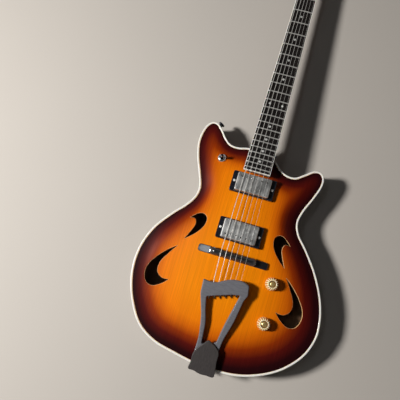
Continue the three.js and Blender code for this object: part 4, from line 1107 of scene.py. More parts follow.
def slab(skin: Skin, outer: Array, holes: Sequence[Array], top: Height | float,
         bottom: Height | float, edge: float = 0.8, spacing: float = 0, steps: int = 4,
         slots: tuple[int, int, int] = (0, 0, 0)) -> None:
    """Adds a plate between two heights whose edges are rounded: its rims step inwards by
    quarter circles at the top and the bottom.

    Args:
        skin: What the plate is added to.
        outer: Its outline.
        holes: The holes in it.
        top: Height of its upper face.
        bottom: Height of its lower face.
        edge: Radius of its rounded edges.
        spacing: Spacing of the net inside its faces, or 0 for none.
        steps: Steps of each quarter circle.
        slots: Material slots of the upper face, the walls and the lower face.
    """
    loops = [wound(outer), *(wound(hole, False) for hole in holes)]
    angle = np.linspace(0, math.pi / 2, steps + 1)
    upper = np.stack([edge * (1 - np.sin(angle)), edge * (1 - np.cos(angle))], 1)
    for loop in loops:
        rings = [heights(offset(loop, -inset), top) - (0, 0, drop) for inset, drop in upper]
        rings += [heights(offset(loop, -inset), bottom) + (0, 0, drop)
                  for inset, drop in upper[::-1]]
        skin.grid(np.stack(rings), slot=slots[1])
    flat, faces = filled([offset(loop, -edge) for loop in loops], spacing)
    skin.add(heights(flat, top), faces, slots[0])
    skin.add(heights(flat, bottom), [face[::-1] for face in faces], slots[2])


def wire(points: Array, radius: float | Array, sides: int) -> Array:
    """A round wire along points: at each one a circle square to the mean of the directions
    before and after, turned as little as possible from the last.

    Args:
        points: The middle line.
        radius: One radius, or one for each point.
        sides: Sides of the circle.

    Returns:
        Points by sides by 3.
    """
    steps = np.diff(points, axis=0)
    steps /= np.linalg.norm(steps, axis=1)[:, None]
    along = np.vstack([steps[:1], steps[:-1] + steps[1:], steps[-1:]])
    along /= np.linalg.norm(along, axis=1)[:, None]
    side = np.array([1.0, 0, 0])
    angle = np.arange(sides) * FULL_TURN / sides
    radii = np.broadcast_to(radius, len(points))
    rings = []
    for middle, ahead, size in zip(points, along, radii):
        side = side - ahead * side.dot(ahead)
        side /= np.linalg.norm(side)
        up = np.cross(ahead, side)
        rings.append(middle + size * (np.cos(angle)[:, None] * side + np.sin(angle)[:, None] * up))
    return np.stack(rings)


# Sub-assemblies


@dataclass
class Assembly:
    """Pieces of the guitar that are made together."""

    def build(self) -> None:
        """Makes the pieces."""
        raise NotImplementedError


def sound_holes() -> list[Array]:
    """The outlines of the four sound holes: each is an outer and an inner curve that meet.

    Returns:
        The treble and the bass one of each pair.
    """
    loops = []
    for outer, inner in (UPPER_HOLE_SHARES, LOWER_HOLE_SHARES):
        curves = [smooth_run(on_body(shares), 8)[:-1] for shares in (outer, inner)]
        loop = spaced(np.vstack(curves), 1.6)
        loops += [loop, loop * (-1, 1)]
    return loops


def circle(centre: Sequence[float], radius: float, count: int = 32) -> Array:
    """A flat circle."""
    angle = np.arange(count) * FULL_TURN / count
    return np.asarray(centre) + radius * np.stack([np.cos(angle), np.sin(angle)], 1)


@dataclass
class Body(Assembly):
    """The carved top and back, the sides and the bindings."""

    net: float = 4.5
    fit: float = 0.05
    binding_depth: float = 4.6
    cavity: Triple = (87, 41, 2)
    shaft_hole: float = 5
    switch_hole: float = 6.3

    @property
    def edge(self) -> Array:
        """The plates' outline, just inside the bindings."""
        return offset(BODY_LINE, -SIZES.binding - self.fit)

    def build(self) -> None:
        """Makes the closed box with its sound holes."""
        self.top()
        self.back()
        self.bands()

    def top(self) -> None:
        """The top: holes for sound, pickups and controls go through it."""
        skin = Skin()
        holes = sound_holes()
        for place in PICKUP_PLACES:
            centre = moved(np.array([[0, place.y, -SIZES.top_below]]), NECK_FRAME)[0]
            holes.append(rounded_rectangle(*self.cavity) + centre[:2])
        holes += [circle(point, self.shaft_hole) for point in on_body(KNOB_SHARES)]
        holes.append(circle(on_body([SWITCH_SHARE])[0], self.switch_hole))
        slab(skin, self.edge, holes, ARCH.top, lambda x, y: ARCH.top(x, y) - SIZES.plate, 0.35,
             self.net, 2, (0, 1, 2))
        skin.build("carved_top", (TOP_BURST, CUT_EDGE, INSIDE_SHADED_WOOD), "lacquer_sunburst", ("top_plate",),
                   depth=SPRAY_WITH_PAINTED_LIGHT.depth, crease=50)

    def back(self) -> None:
        """The back, whose middle the guitar lies on."""
        skin = Skin()
        slab(skin, self.edge, (), lambda x, y: ARCH.back(x, y) + SIZES.plate, ARCH.back, 0.5,
             self.net, 2, (1, 0, 0))
        skin.build("carved_back", (BACK_BURST, INSIDE_SHADED_WOOD), "lacquer_red_brown", ("back_plate",),
                   depth=SPRAY_WITH_PAINTED_LIGHT.depth, crease=50)

    def bands(self) -> None:
        """The sides and the two bindings: each has a section with round corners, carried round
        the body's line, outwards and up."""
        path, out = lifted(BODY_LINE, 0), lifted(normals(BODY_LINE), 0)
        low, high, deep = SIZES.back_rise, SIZES.top_edge, self.binding_depth
        for name, x0, x1, z0, z1, corner, finish, slot, node in (
            ("side_band", -SIZES.side, -0.1, low + deep, high - deep, 0.4, RIM_LACQUER,
             "lacquer_red_brown", "rim"),
            ("top_edge_binding", -SIZES.binding, 0, high - deep, high, 1.3, CREAM,
             "cream_binding", "top_binding"),
            ("back_edge_binding", -SIZES.binding, 0, low, low + deep, 1.3, CREAM,
             "cream_binding", "back_binding"),
        ):
            section = rounded_rectangle(x1 - x0, z1 - z0, corner, 4)
            section += ((x0 + x1) / 2, (z0 + z1) / 2)
            skin = Skin()
            skin.grid(path[:, None] + out[:, None] * section[:, :1] + UP * section[:, 1:],
                      wrap_rows=True)
            skin.build(name, (finish,), slot, (node,), crease=50)


@dataclass(frozen=True)
class PickupPlace:
    """One pickup's place along the neck's frame."""

    name: str
    y: float
    pole_side: int

    @property
    def top(self) -> float:
        """The height of its cover over the neck's frame."""
        return SIZES.string_height(self.y) - SIZES.string_clearance


NECK_PICKUP_Y = SIZES.board_end - 22 - SIZES.pickup_setback
PICKUP_PLACES = (
    PickupPlace("neck", NECK_PICKUP_Y, 1),
    PickupPlace("bridge", NECK_PICKUP_Y - SIZES.pickup_spacing, -1),
)


def top_in_neck(x: Array, y: Array) -> Array:
    """The top's surface seen from the neck's frame, found by stepping towards it.

    Args:
        x: Places across.
        y: Places along the frame.

    Returns:
        Heights in the frame.
    """
    tilt = math.radians(SIZES.neck_tilt)
    height = np.full(np.shape(x), -SIZES.top_below)
    for _ in range(3):
        world_y = y * math.cos(tilt) + height * math.sin(tilt)
        world_z = ARCH.top(x, world_y)
        height = (world_z - SIZES.board_height + y * math.sin(tilt)) / math.cos(tilt)
    return height


def slotted_head(skin: Skin, centre: Sequence[float], radius: float, height: float,
                 turn_deg: float, matrix: Array | None = None) -> None:
    """Adds a screw's head: a low disc and, on it, two halves on each side of a slot.

    Args:
        skin: What it is added to.
        centre: The middle of its underside.
        radius: Its radius.
        height: Its height.
        turn_deg: The slot's direction.
        matrix: A frame that the points are taken through.
    """
    slot_share = 0.2
    head = Skin()
    floor = height * 0.55
    head.lathe([(0, 0), (radius * 0.96, 0), (radius, height * 0.1), (radius, floor),
                (0, floor)], 28)
    start = math.asin(slot_share)
    angle = np.linspace(start, math.pi - start, 15)
    half = radius * np.stack([np.cos(angle), np.sin(angle)], 1)
    for side in (1, -1):
        slab(head, half * side, (), height, floor * 0.8, radius * 0.12, 0, 3)
    turn = math.radians(turn_deg)
    spun = np.eye(4)
    spun[:2, :2] = [[math.cos(turn), -math.sin(turn)], [math.sin(turn), math.cos(turn)]]
    spun[:3, 3] = centre
    points = moved(head.place(), spun)
    skin.add(points if matrix is None else moved(points, matrix), head.faces)


@dataclass
class Pickup(Assembly):
    """A pickup with its cover and pole screws, its ring and its two height screws."""

    place: PickupPlace
    cover: Pair = (70, 38.5)
    corner: float = 3
    depth: float = 23
    reveal: float = 7.5
    ear: Triple = (85, 12, 1)
    ear_thickness: float = 1.5
    ring: Pair = (90, 44)
    fit: float = 0.7
    pole_inset: float = 8
    pole_radius: float = 2.2
    screw_x: float = 39.5
    screw_radius: float = 2.4
    screw_length: float = 28.5

    def build(self) -> None:
        """Makes the pickup, its ring and the screws."""
        self.unit()
        self.frame()
        for side_name, side in (("bass", -1), ("treble", 1)):
            self.screw(side_name, side)

    def unit(self) -> None:
        """The cover with its poles, over a plate with ears."""
        name, y, top = self.place.name, self.place.y, self.place.top
        floor = top - self.depth
        cover, poles, plate = Skin(), Skin(), Skin()
        slab(cover, rounded_rectangle(*self.cover, self.corner) + (0, y), (), top,
             floor + self.ear_thickness + 0.1, 1.5, 0, 6)
        for i in range(6):
            spot = ((i - 2.5) * String.bridge_pitch,
                    y + self.place.pole_side * (self.cover[1] / 2 - self.pole_inset), top - 0.3)
            slotted_head(poles, spot, self.pole_radius, 0.8, 24 + 41 * i)
        slab(plate, rounded_rectangle(*self.ear) + (0, y), (), floor + self.ear_thickness, floor,
             0.3)
        for part, skin, finish in (("cover", cover, COVER_NICKEL), ("poles", poles, SCREW_NICKEL),
                                   ("plate", plate, NICKEL)):
            skin.build(f"{name}_{part}", (finish,), "brushed_nickel", (f"{name}_pickup",),
                       NECK_FRAME, body=f"{name}_pickup_unit")

    def frame(self) -> None:
        """The ring, whose foot follows the arch."""
        y, top = self.place.y, self.place.top - self.reveal
        skin = Skin()
        outer = spaced(rounded_rectangle(*self.ring, self.corner), 1.5)
        inner = rounded_rectangle(self.cover[0] + 2 * self.fit, self.cover[1] + 2 * self.fit,
                                  self.corner)
        holes = [inner, *(circle((side * self.screw_x, 0), 1.6, 20) for side in (-1, 1))]
        slab(skin, outer + (0, y), [hole + (0, y) for hole in holes], top,
             lambda px, py: top_in_neck(px, py) + 0.1, 0.9, 1.6, 5)
        skin.build(f"{self.place.name}_ring", (BLACK_PLASTIC,), "black_plastic",
                   (f"{self.place.name}_pickup_ring",), NECK_FRAME)

    def screw(self, side_name: str, side: int) -> None:
        """A height screw through the ring into the plate's ear.

        Args:
            side_name: The side's name.
            side: 1 for treble, -1 for bass.
        """
        spot = (side * self.screw_x, self.place.y, self.place.top - self.reveal + 0.3)
        skin = Skin()
        slotted_head(skin, spot, self.screw_radius, 1.6, 35 * side + 10)
        skin.lathe([(0, -self.screw_length), (1.2, 0.5 - self.screw_length), (1.3, 0.2)], 16,
                   frame_matrix(spot))
        name = self.place.name
        skin.build(f"{name}_height_screw_{side_name}", (HEIGHT_SCREW_GLINT,), "nickel",
                   (f"{name}_pickup_screw_{side_name}",), NECK_FRAME,
                   body=f"{name}_{side_name}_adjuster")


@dataclass
class Neck(Assembly):
    """The neck with its heel and headstock, the fingerboard, the nut and the rod's cover."""

    joint: float = 0.446 * SIZES.body_length
    depth: float = 15.5
    heel_reach: float = 36
    heel_depth: float = 58
    fret_width: float = 2.4
    fret_height: float = 1.0
    dot_radius: float = 2.6
    dots: tuple[int, ...] = (3, 5, 7, 9, 12, 15, 17, 19, 21)
    double: int = 12
    columns: int = 25
    tongue_width: float = 40
    washer: Pair = (3.35, 5.3)
    rod_cover_size: Pair = (10.2, 32)

    def build(self) -> None:
        """Makes the wood, then what lies on it."""
        self.wood()
        self.face()
        self.board()
        self.edging()
        self.frets()
        self.markers()
        self.nut()
        self.rod_cover()

    @property
    def top(self) -> float:
        """The height of the neck's flat top in its frame."""
        return -SIZES.board_thickness - SIZES.gap

    def section(self) -> Array:
        """Half a round as shares of its half width and its depth."""
        angle = np.linspace(0, math.pi, self.columns)
        return np.stack([np.cos(angle), np.maximum(np.sin(angle), 0) ** 0.8], 1)

    def wood(self) -> None:
        """Shaft, heel and headstock, melted into one skin, and the tongue under the board."""
        skin = Skin()
        start = self.joint + self.heel_reach / 4
        end = SIZES.scale + SIZES.nut_length + SIZES.gap
        shape = self.section()
        ys = np.linspace(start, end, 26)
        share = (ys - start) / (end - start)
        depth = self.depth * np.interp(share, (0, 0.5, 1), (1.25, 1.1, 1))
        half = np.maximum(SIZES.nut_width / 2, SIZES.board_half(ys))
        rows = np.stack([
            half[:, None] * shape[:, 0], np.repeat(ys[:, None], self.columns, 1),
            self.top - depth[:, None] * shape[:, 1],
        ], -1)
        skin.tube(rows)
        width = SIZES.board_half(self.joint)
        part = np.linspace(0, 1, 15)[:, None]
        across, down = np.vstack([[(-1, 0), (1, 0)], shape]).T
        y = self.joint + self.heel_reach * (0.33 + part ** 2.5) * down
        y[:, :2] = self.joint - 3
        skin.tube(np.stack(np.broadcast_arrays(
            width * (0.6 + 0.4 * part) * across, y, self.top - self.heel_depth * (1 - part)), -1))
        head = Skin()
        slab(head, self.head_line(), [circle(post.spot, 3.7, 24) for post in TUNERS],
             -SIZES.veneer - 0.1, -SIZES.head_thickness, 1.0, 0, 3)
        inner = np.linalg.inv(NECK_FRAME) @ HEAD_FRAME
        skin.add(moved(head.place(), inner), head.faces)
        neck = skin.build("neck_wood", (NECK_LACQUER,), "lacquer_red_brown", ("neck",), NECK_FRAME)
        neck.modifiers.clear()
        melt = neck.modifiers.new("melt", "REMESH")
        melt.mode, melt.voxel_size, melt.use_smooth_shade = "VOXEL", 0.0009, True
        ease = neck.modifiers.new("ease", "SMOOTH")
        ease.factor, ease.iterations = 0.5, 8
        tongue = Skin()
        slab(tongue, rounded_rectangle(self.tongue_width, self.joint - SIZES.board_end + 2, 1)
             + (0, (self.joint + SIZES.board_end + 2) / 2), (), self.top,
             lambda x, y: top_in_neck(x, y) + 0.1, 0.3, 8)
        tongue.build("neck_tongue", (NECK_LACQUER,), "lacquer_red_brown", ("neck",), NECK_FRAME)

    def head_line(self) -> Array:
        """The headstock's outline: one side's curve and its mirror image.

        Returns:
            The outline in the headstock's frame.
        """
        side = np.array([(23 / 39, 0), *HEAD_SHARES]) * (SIZES.head_width / 2, SIZES.head_length)
        right = smooth_run(side, 8)
        return wound(np.vstack([right[:-1], (right[::-1] * (-1, 1))[:-1]]))

    def face(self) -> None:
        """The black face of the headstock, with a washer round each post."""
        skin = Skin()
        slab(skin, self.head_line(), [circle(post.spot, 3.4, 24) for post in TUNERS],
             0, -SIZES.veneer, 0.5, 0, 4)
        skin.build("headstock_face", (BLACK_LACQUER,), "black_veneer", ("headstock_veneer",),
                   HEAD_FRAME)
        rings = Skin()
        bore, size = self.washer
        for post in TUNERS:
            rings.lathe([(bore, -1), (size, -1), (size, 0.5), (size - 0.4, 0.9),
                         (bore + 0.35, 1.1), (bore, 0.9), (bore, -1)], 36, post.stand)
        rings.build("post_washers", (NICKEL,), "nickel", ("headstock_veneer",), HEAD_FRAME)

    def board(self) -> None:
        """The fingerboard's wood."""
        skin = Skin()
        y0 = SIZES.board_end + SIZES.board_binding
        ys = np.linspace(y0, SIZES.scale, 40)
        half = SIZES.board_half(ys) - SIZES.board_binding - 0.05
        across = np.linspace(-1, 1, 17)
        x = half[:, None] * across
        top = np.stack([x, np.repeat(ys[:, None], 17, 1), -SIZES.crown(x)], -1)
        floor = top[:, ::-1].copy()
        floor[..., 2] = -SIZES.board_thickness
        skin.tube(np.concatenate([top, floor], 1))
        skin.build("fingerboard_wood", (BOARD_WOOD,), "dark_fingerboard", ("fingerboard",),
                   NECK_FRAME)

    def edging(self) -> None:
        """The cream binding along both sides and round the body end."""
        y0, y1 = SIZES.board_end, SIZES.scale - 0.1
        b = SIZES.board_binding
        a0, a1 = float(SIZES.board_half(y0)), float(SIZES.board_half(y1))
        line = np.array([
            (-a1, y1), (-a0 + 0.8, y0 + 0.2), (-a0 + 1.2, y0), (a0 - 1.2, y0), (a0 - 0.8, y0 + 0.2),
            (a1, y1), (a1 - b, y1), (a0 - b, y0 + b), (b - a0, y0 + b), (b - a1, y1),
        ])
        skin = Skin()
        slab(skin, spaced(line, 1.6), (), lambda x, y: -SIZES.crown(x) - 0.02,
             -SIZES.board_thickness, 0.35, 0.9, 3)
        skin.build("fingerboard_edging", (CREAM,), "cream_binding", ("fingerboard_binding",),
                   NECK_FRAME)

    def frets(self) -> None:
        """Rounded frets with sloping ends."""
        skin = Skin()
        share = np.array([-1, -0.985, -0.965, -0.7, -0.35, 0, 0.35, 0.7, 0.965, 0.985, 1])[:, None]
        size = np.interp(np.abs(share), (0.965, 0.985, 1), (1, 0.7, 0.25))
        angle = np.linspace(0, math.pi, 9)
        along = self.fret_width / 2 * np.append(-np.cos(angle), (1, -1))
        up = np.hstack([self.fret_height * size * np.sin(angle) ** 0.8,
                        np.full((len(share), 2), -0.4)])
        for number in range(1, SIZES.frets + 1):
            y = SIZES.scale * 2 ** (-number / 12)
            x = share * (SIZES.board_half(y) - SIZES.board_binding - 0.1)
            skin.tube(np.stack(np.broadcast_arrays(x, y + along, up - SIZES.crown(x)), -1))
        skin.build("frets", (FRET_NICKEL,), "dark_fingerboard", ("fingerboard",), NECK_FRAME)

    def markers(self) -> None:
        """Round pearly dots between the frets, two of them before the twelfth."""
        skin = Skin()
        for number in self.dots:
            y = (SIZES.scale * (2 ** (-(number - 1) / 12) + 2 ** (-number / 12))) / 2
            spots = ((-13, y), (13, y)) if number == self.double else ((0, y),)
            for x, at in spots:
                skin.lathe([(0, 0), (self.dot_radius, 0), (self.dot_radius, 0.5),
                            (self.dot_radius - 0.3, 0.56), (0, 0.58)], 36,
                           frame_matrix((x, at, -SIZES.crown(x) - 0.5)))
        skin.build("position_dots", (PEARL,), "bone", ("fingerboard",), NECK_FRAME)

    def nut(self) -> None:
        """The nut, with a slot under each string."""
        skin = Skin()
        half = SIZES.nut_width / 2
        x = np.unique(np.concatenate([
            np.linspace(-half + 0.5, half - 0.5, 60),
            *[string.nut_x + string.radius * 1.3 * np.array([-1.2, -1, -0.5, 0, 0.5, 1, 1.2])
              for string in STRINGS],
        ]))
        top = 1.9 - SIZES.crown(x)
        for string in STRINGS:
            slot = np.abs(x - string.nut_x) <= string.radius * 1.31
            top = np.where(slot, SIZES.nut_floor(string.nut_x), top)
        y0, y1 = SIZES.scale + 0.1, SIZES.scale + SIZES.nut_length
        skin.tube(np.array([
            [(at, y0, -6), (at, y1, -6), (at, y1, height - 1.2), (at, y1 - 1.2, height - 0.35),
             (at, y0 + 0.6, height), (at, y0, height - 0.5)] for at, height in zip(x, top)]))
        skin.build("bone_nut", (BONE,), "bone", ("nut",), NECK_FRAME)

    def rod_cover(self) -> None:
        """The small cover over the truss rod's nut, with its two screws."""
        side = np.array([*ROD_COVER_SHARES, (0, 1.01)]) * self.rod_cover_size
        right = smooth_run(side, 6)
        line = wound(np.vstack([right[:-1], (right[::-1] * (-1, 1))]))
        skin = Skin()
        slab(skin, line, (), 2.1, 0.05, 0.5, 0, 4)
        skin.build("rod_cover", (BLACK_PLASTIC,), "black_plastic", ("truss_rod_cover",),
                   HEAD_FRAME)
        screws = Skin()
        for spot, turn in (((0, 27), 20), ((-6.5, 4), 75), ((6.5, 4), 130)):
            slotted_head(screws, (*spot, 1.8), 1.4, 0.7, turn)
        screws.build("rod_cover_screws", (SCREW_NICKEL,), "nickel", ("truss_rod_cover",),
                     HEAD_FRAME)


@dataclass(frozen=True)
class String:
    """One string and its places across the tailpiece, the saddle and the nut."""

    number: int
    radius: float
    nut_pitch: float = 7
    bridge_pitch: float = 10.3
    bridge_shift: float = 1.5
    tail_pitch: float = 10
    tail_shift: float = 3

    @property
    def rank(self) -> float:
        """Its place from the middle, towards the treble side."""
        return 3.5 - self.number

    @property
    def nut_x(self) -> float:
        """Its place across the nut."""
        return self.nut_pitch * self.rank

    @property
    def bridge_x(self) -> float:
        """Its place across the saddle."""
        return self.bridge_shift + self.bridge_pitch * self.rank

    @property
    def tail_x(self) -> float:
        """Its place across the tailpiece."""
        return self.tail_shift + self.tail_pitch * self.rank


STRINGS = tuple(String(i + 1, radius) for i, radius in enumerate(
    (0.15, 0.2, 0.3, 0.41, 0.53, 0.66)))


@dataclass
class Tuner(Assembly):
    """A tuner: a post with its gear, and a key with its worm."""

    number: int
    aside: float = 23.22
    start: float = 46
    pitch: float = 42
    worm_offset: float = 9.6
    worm_z: float = -18.6
    gear_radius: float = 6.5
    teeth: int = 15
    post_radius: float = 3
    post_top: float = 14

    @property
    def side(self) -> int:
        """Which side of the headstock it is on."""
        return 1 if self.number <= 3 else -1

    @property
    def spot(self) -> Pair:
        """The post's place in the headstock's frame."""
        rank = self.number - 1 if self.number <= 3 else 6 - self.number
        return self.side * self.aside, self.start + rank * self.pitch

    @property
    def stand(self) -> Array:
        """A frame that stands at the post's place."""
        return frame_matrix((*self.spot, 0))

    def build(self) -> None:
        """Makes the post and the key."""
        self.post()
        self.key()

    def post(self) -> None:
        """The post with a waist for the string, and the gear under the headstock."""
        radius, top = self.post_radius, self.post_top
        skin = Skin()
        skin.lathe([(0, -18), (radius, -18), (radius, 1.6), (2.75, 2.6), (2.75, 8.6),
                    (radius, 9.6), (radius, top - 0.8), (2.4, top - 0.2), (1.5, top),
                    (1.4, top - 1.1), (0, top - 1.1)], 32, self.stand)
        angle = np.arange(self.teeth * 8) * FULL_TURN / (self.teeth * 8)
        swing = np.cos(angle * self.teeth)
        size = self.gear_radius - 0.4 + 0.4 * np.tanh(3 * swing) / math.tanh(3)
        loop = np.stack([size * np.cos(angle), size * np.sin(angle)], 1) + self.spot
        slab(skin, loop, (), -16.6, -20.6, 0.3, 0, 2)
        skin.lathe([(0, -21.4), (1.6, -21.4), (1.9, -20.9), (1.9, -20.4)], 24, self.stand)
        skin.build(f"post_{self.number}", (NICKEL,), "nickel", (f"tuner_post_{self.number}",),
                   HEAD_FRAME, body=f"tuner_{self.number}_post")

    def key(self) -> None:
        """The worm on its shaft, and a kidney-shaped button."""
        x, y = self.spot
        skin = Skin()

        def thread(radius: Array, height: Array, angle: Array) -> Array:
            """The worm's thread winds once in 2 mm."""
            return radius + np.where(np.abs(height) < 4.3, 0.3 * np.cos(
                angle - height * FULL_TURN / 2) - 0.3, 0)

        along = [(0, -6.8), (1.6, -6.8), (1.8, -6.4), (1.8, -4.5), (2.6, -4.4)]
        along += [(2.8, h) for h in np.linspace(-4.2, 4.2, 57)]
        along += [(2.6, 4.4), (1.8, 4.5), (1.8, 20), (2.6, 20.6), (2.9, 21.6), (2.3, 22.4)]
        skin.lathe(along, 24, None, 0, thread)
        share, spread = np.array([
            (0, 0.2), (0.015, 0.3), (0.06, 0.45), (0.14, 0.68), (0.25, 0.86), (0.4, 0.98),
            (0.55, 1.0), (0.7, 0.96), (0.83, 0.85), (0.93, 0.66), (0.985, 0.42), (1.0, 0.2),
        ]).T[:, :, None]
        wide, thick = circle((0, 0), 1).T
        skin.tube(np.stack(np.broadcast_arrays(
            9 * spread * np.sign(wide) * np.abs(wide) ** 0.8,
            3.5 * np.sqrt(spread) * np.sign(thick) * np.abs(thick) ** 0.9, 22 + 15 * share), -1))
        where = frame_matrix((x, y + self.worm_offset, self.worm_z))
        where[:3, :3] = [[0, 0, self.side], [0, 1, 0], [-self.side, 0, 0]]
        skin.build(f"key_{self.number}", (NICKEL,), "nickel", (f"tuner_button_{self.number}",),
                   HEAD_FRAME @ where, body=f"tuner_{self.number}_key")


TUNERS = tuple(Tuner(number) for number in range(1, 7))


@dataclass
class Bridge(Assembly):
    """The base on its studs, the two thumbwheels and the saddle."""

    y: float = -SIZES.crest_setback
    base: Pair = (142, 15)
    base_top: float = 80
    base_thickness: float = 5
    base_flat: float = 47
    base_slope: float = 19
    stud_x: float = 39
    stud_radius: float = 2
    stud_top: float = 88.6
    thread_pitch: float = 0.7
    wheel: Triple = (8, 82.3, 84.8)
    saddle: Pair = (91, 13)
    saddle_foot: float = 4.7
    saddle_bottom: float = 85.1

    def build(self) -> None:
        """Makes all of it."""
        self.foot()
        self.studs()
        for name, side in (("bass", -1), ("treble", 1)):
            self.thumbwheel(name, side)
        self.crest()

    def foot(self) -> None:
        """The base: rows of a section with rounded upper edges, carried along X. It follows the
        arch below, has round corners in plan, and slopes down to its ends above."""
        length, width = self.base
        half, corner, edge = length / 2, 4.5, 1.2
        tip = top_height(half, self.y) + self.base_thickness
        turn = np.linspace(0, math.pi / 2, 9)
        right = np.concatenate([np.linspace(0, 46.8, 24), [47.1], np.linspace(48, 66, 10),
                                half - corner * (1 - np.sin(turn))])
        x = np.unique(np.concatenate([-right, right]))
        away = np.abs(x)
        wide = width / 2 - corner + np.sqrt(np.maximum(
            0, corner ** 2 - np.maximum(0, away - half + corner) ** 2))
        fall = np.clip((away - self.base_flat) / self.base_slope, 0, 1.2)
        high = self.base_top + (tip - self.base_top) * fall
        high -= edge - np.sqrt(edge ** 2 - np.maximum(0, away - half + edge) ** 2)
        across = np.stack([wide - edge * (1 - np.cos(a)) for a in turn[::2]] + [0 * wide], 1)
        drop = np.array([edge * (1 - math.sin(a)) for a in turn[::2]] + [0.0])
        front, rear = (ARCH.top(x, self.y + side * wide) + 0.05 for side in (1, -1))
        y = np.column_stack([across[:, 0], across, -across[:, -2::-1], -across[:, 0]])
        z = np.column_stack([front, high[:, None] - np.append(drop, drop[-2::-1]), rear])
        skin = Skin()
        skin.tube(np.stack(np.broadcast_arrays(x[:, None], self.y + y, z), -1))
        skin.build("bridge_foot", (BRIDGE_EBONY,), "black_ebony", ("bridge_base",))

    def studs(self) -> None:
        """Two threaded studs up into the saddle."""
        skin = Skin()
        levels = np.linspace(self.base_top - 1, self.stud_top - 0.4, 80)
        profile = [(0, self.base_top - 1.2), *[(self.stud_radius, h) for h in levels],
                   (0, self.stud_top)]
        for side in (-1, 1):
            skin.lathe(profile, 20, frame_matrix((side * self.stud_x, self.y, 0)), 0,
                       lambda r, h, a: np.where(r > 0, r - 0.15 + 0.15 * np.cos(
                           a - h * FULL_TURN / self.thread_pitch), 0))
        skin.build("bridge_studs", (NICKEL,), "nickel", ("bridge_base",))

    def thumbwheel(self, name: str, side: int) -> None:
        """A knurled wheel on its stud.

        Args:
            name: The side's name.
            side: 1 for treble, -1 for bass.
        """
        radius, low, high = self.wheel
        skin = Skin()
        profile = [(2.3, low), (radius - 0.5, low), (radius, low + 0.4), (radius, high - 0.85),
                   (radius - 0.15, high - 0.7), (radius - 1.5, high - 0.05), (radius - 1.8, high),
                   (5, high), (4.6, high - 0.2), (2.3, high - 0.2), (2.3, low)]

        def knurl(r: Array, h: Array, a: Array) -> Array:
            """Forty small teeth round the rim."""
            return np.where(r > radius - 0.1, r - 0.22 + 0.22 * np.cos(40 * a), r)

        skin.lathe(profile, 200, frame_matrix((side * self.stud_x, self.y, 0)), 0, knurl)
        skin.build(f"{name}_wheel_disc", (CHROME,), "nickel", (f"{name}_thumbwheel",),
                   body=f"{name}_wheel")

    def crest(self) -> None:
        """The saddle: its section narrows to a crest that has a slot for each string."""
        skin = Skin()
        half, between = self.saddle[0] / 2, String.bridge_pitch / 2
        x = np.unique(np.concatenate([
            np.linspace(-half, half, 160), -half + np.array([0.15, 0.4, 0.8, 1.3]),
            half - np.array([0.15, 0.4, 0.8, 1.3]),
            *[string.bridge_x + (string.radius + 0.2) * np.array([-1.3, -1, 0, 1, 1.3])
              for string in STRINGS],
            *[string.bridge_x + between + np.array([-1, -0.45, 0.45, 1]) for string in STRINGS],
        ]))
        crown = np.minimum(np.abs(x), 31) ** 2 / (2 * SIZES.board_radius)
        top = SIZES.crest_height - crown + 0.75
        fall = np.clip((np.abs(x) - 36) / (half - 36), 0, 1)
        top = top - 5.2 * fall ** 1.8
        for string in STRINGS:
            notch = np.clip((1 - np.abs(x - string.bridge_x - between)) / 0.55, 0, 1)
            top = top - 1.3 * notch * (np.abs(x) < 30)
            slot = np.abs(x - string.bridge_x) <= string.radius + 0.21
            top = np.where(slot, SIZES.crest_floor(string.bridge_x), top)
        foot = self.saddle_bottom + self.saddle_foot
        turned = np.maximum(0, (np.abs(x) - half + 3) / 3)
        wide = self.saddle[1] / 2 * (0.45 + 0.55 * np.sqrt(np.maximum(0, 1 - turned ** 2)))
        shoulder = np.minimum(foot, top - 1.2)
        rise, flat = top - shoulder, np.zeros(len(x))
        y = np.stack([wide - 0.5, wide, wide, wide - 0.35, wide * 0.72, wide * 0.4,
                      flat + 1.35, flat + 0.9], 1)
        z = np.stack([flat + self.saddle_bottom, flat + self.saddle_bottom + 0.5, shoulder - 1.4,
                      shoulder - 0.5, shoulder + rise * 0.42, shoulder + rise * 0.8, top - 0.25,
                      top], 1)
        skin.tube(np.stack(np.broadcast_arrays(
            x[:, None], self.y + np.hstack([y, -y[:, ::-1]]), np.hstack([z, z[:, ::-1]])), -1))
        skin.build("saddle_top", (BRIDGE_EBONY,), "black_ebony", ("bridge_saddle",), body="saddle")


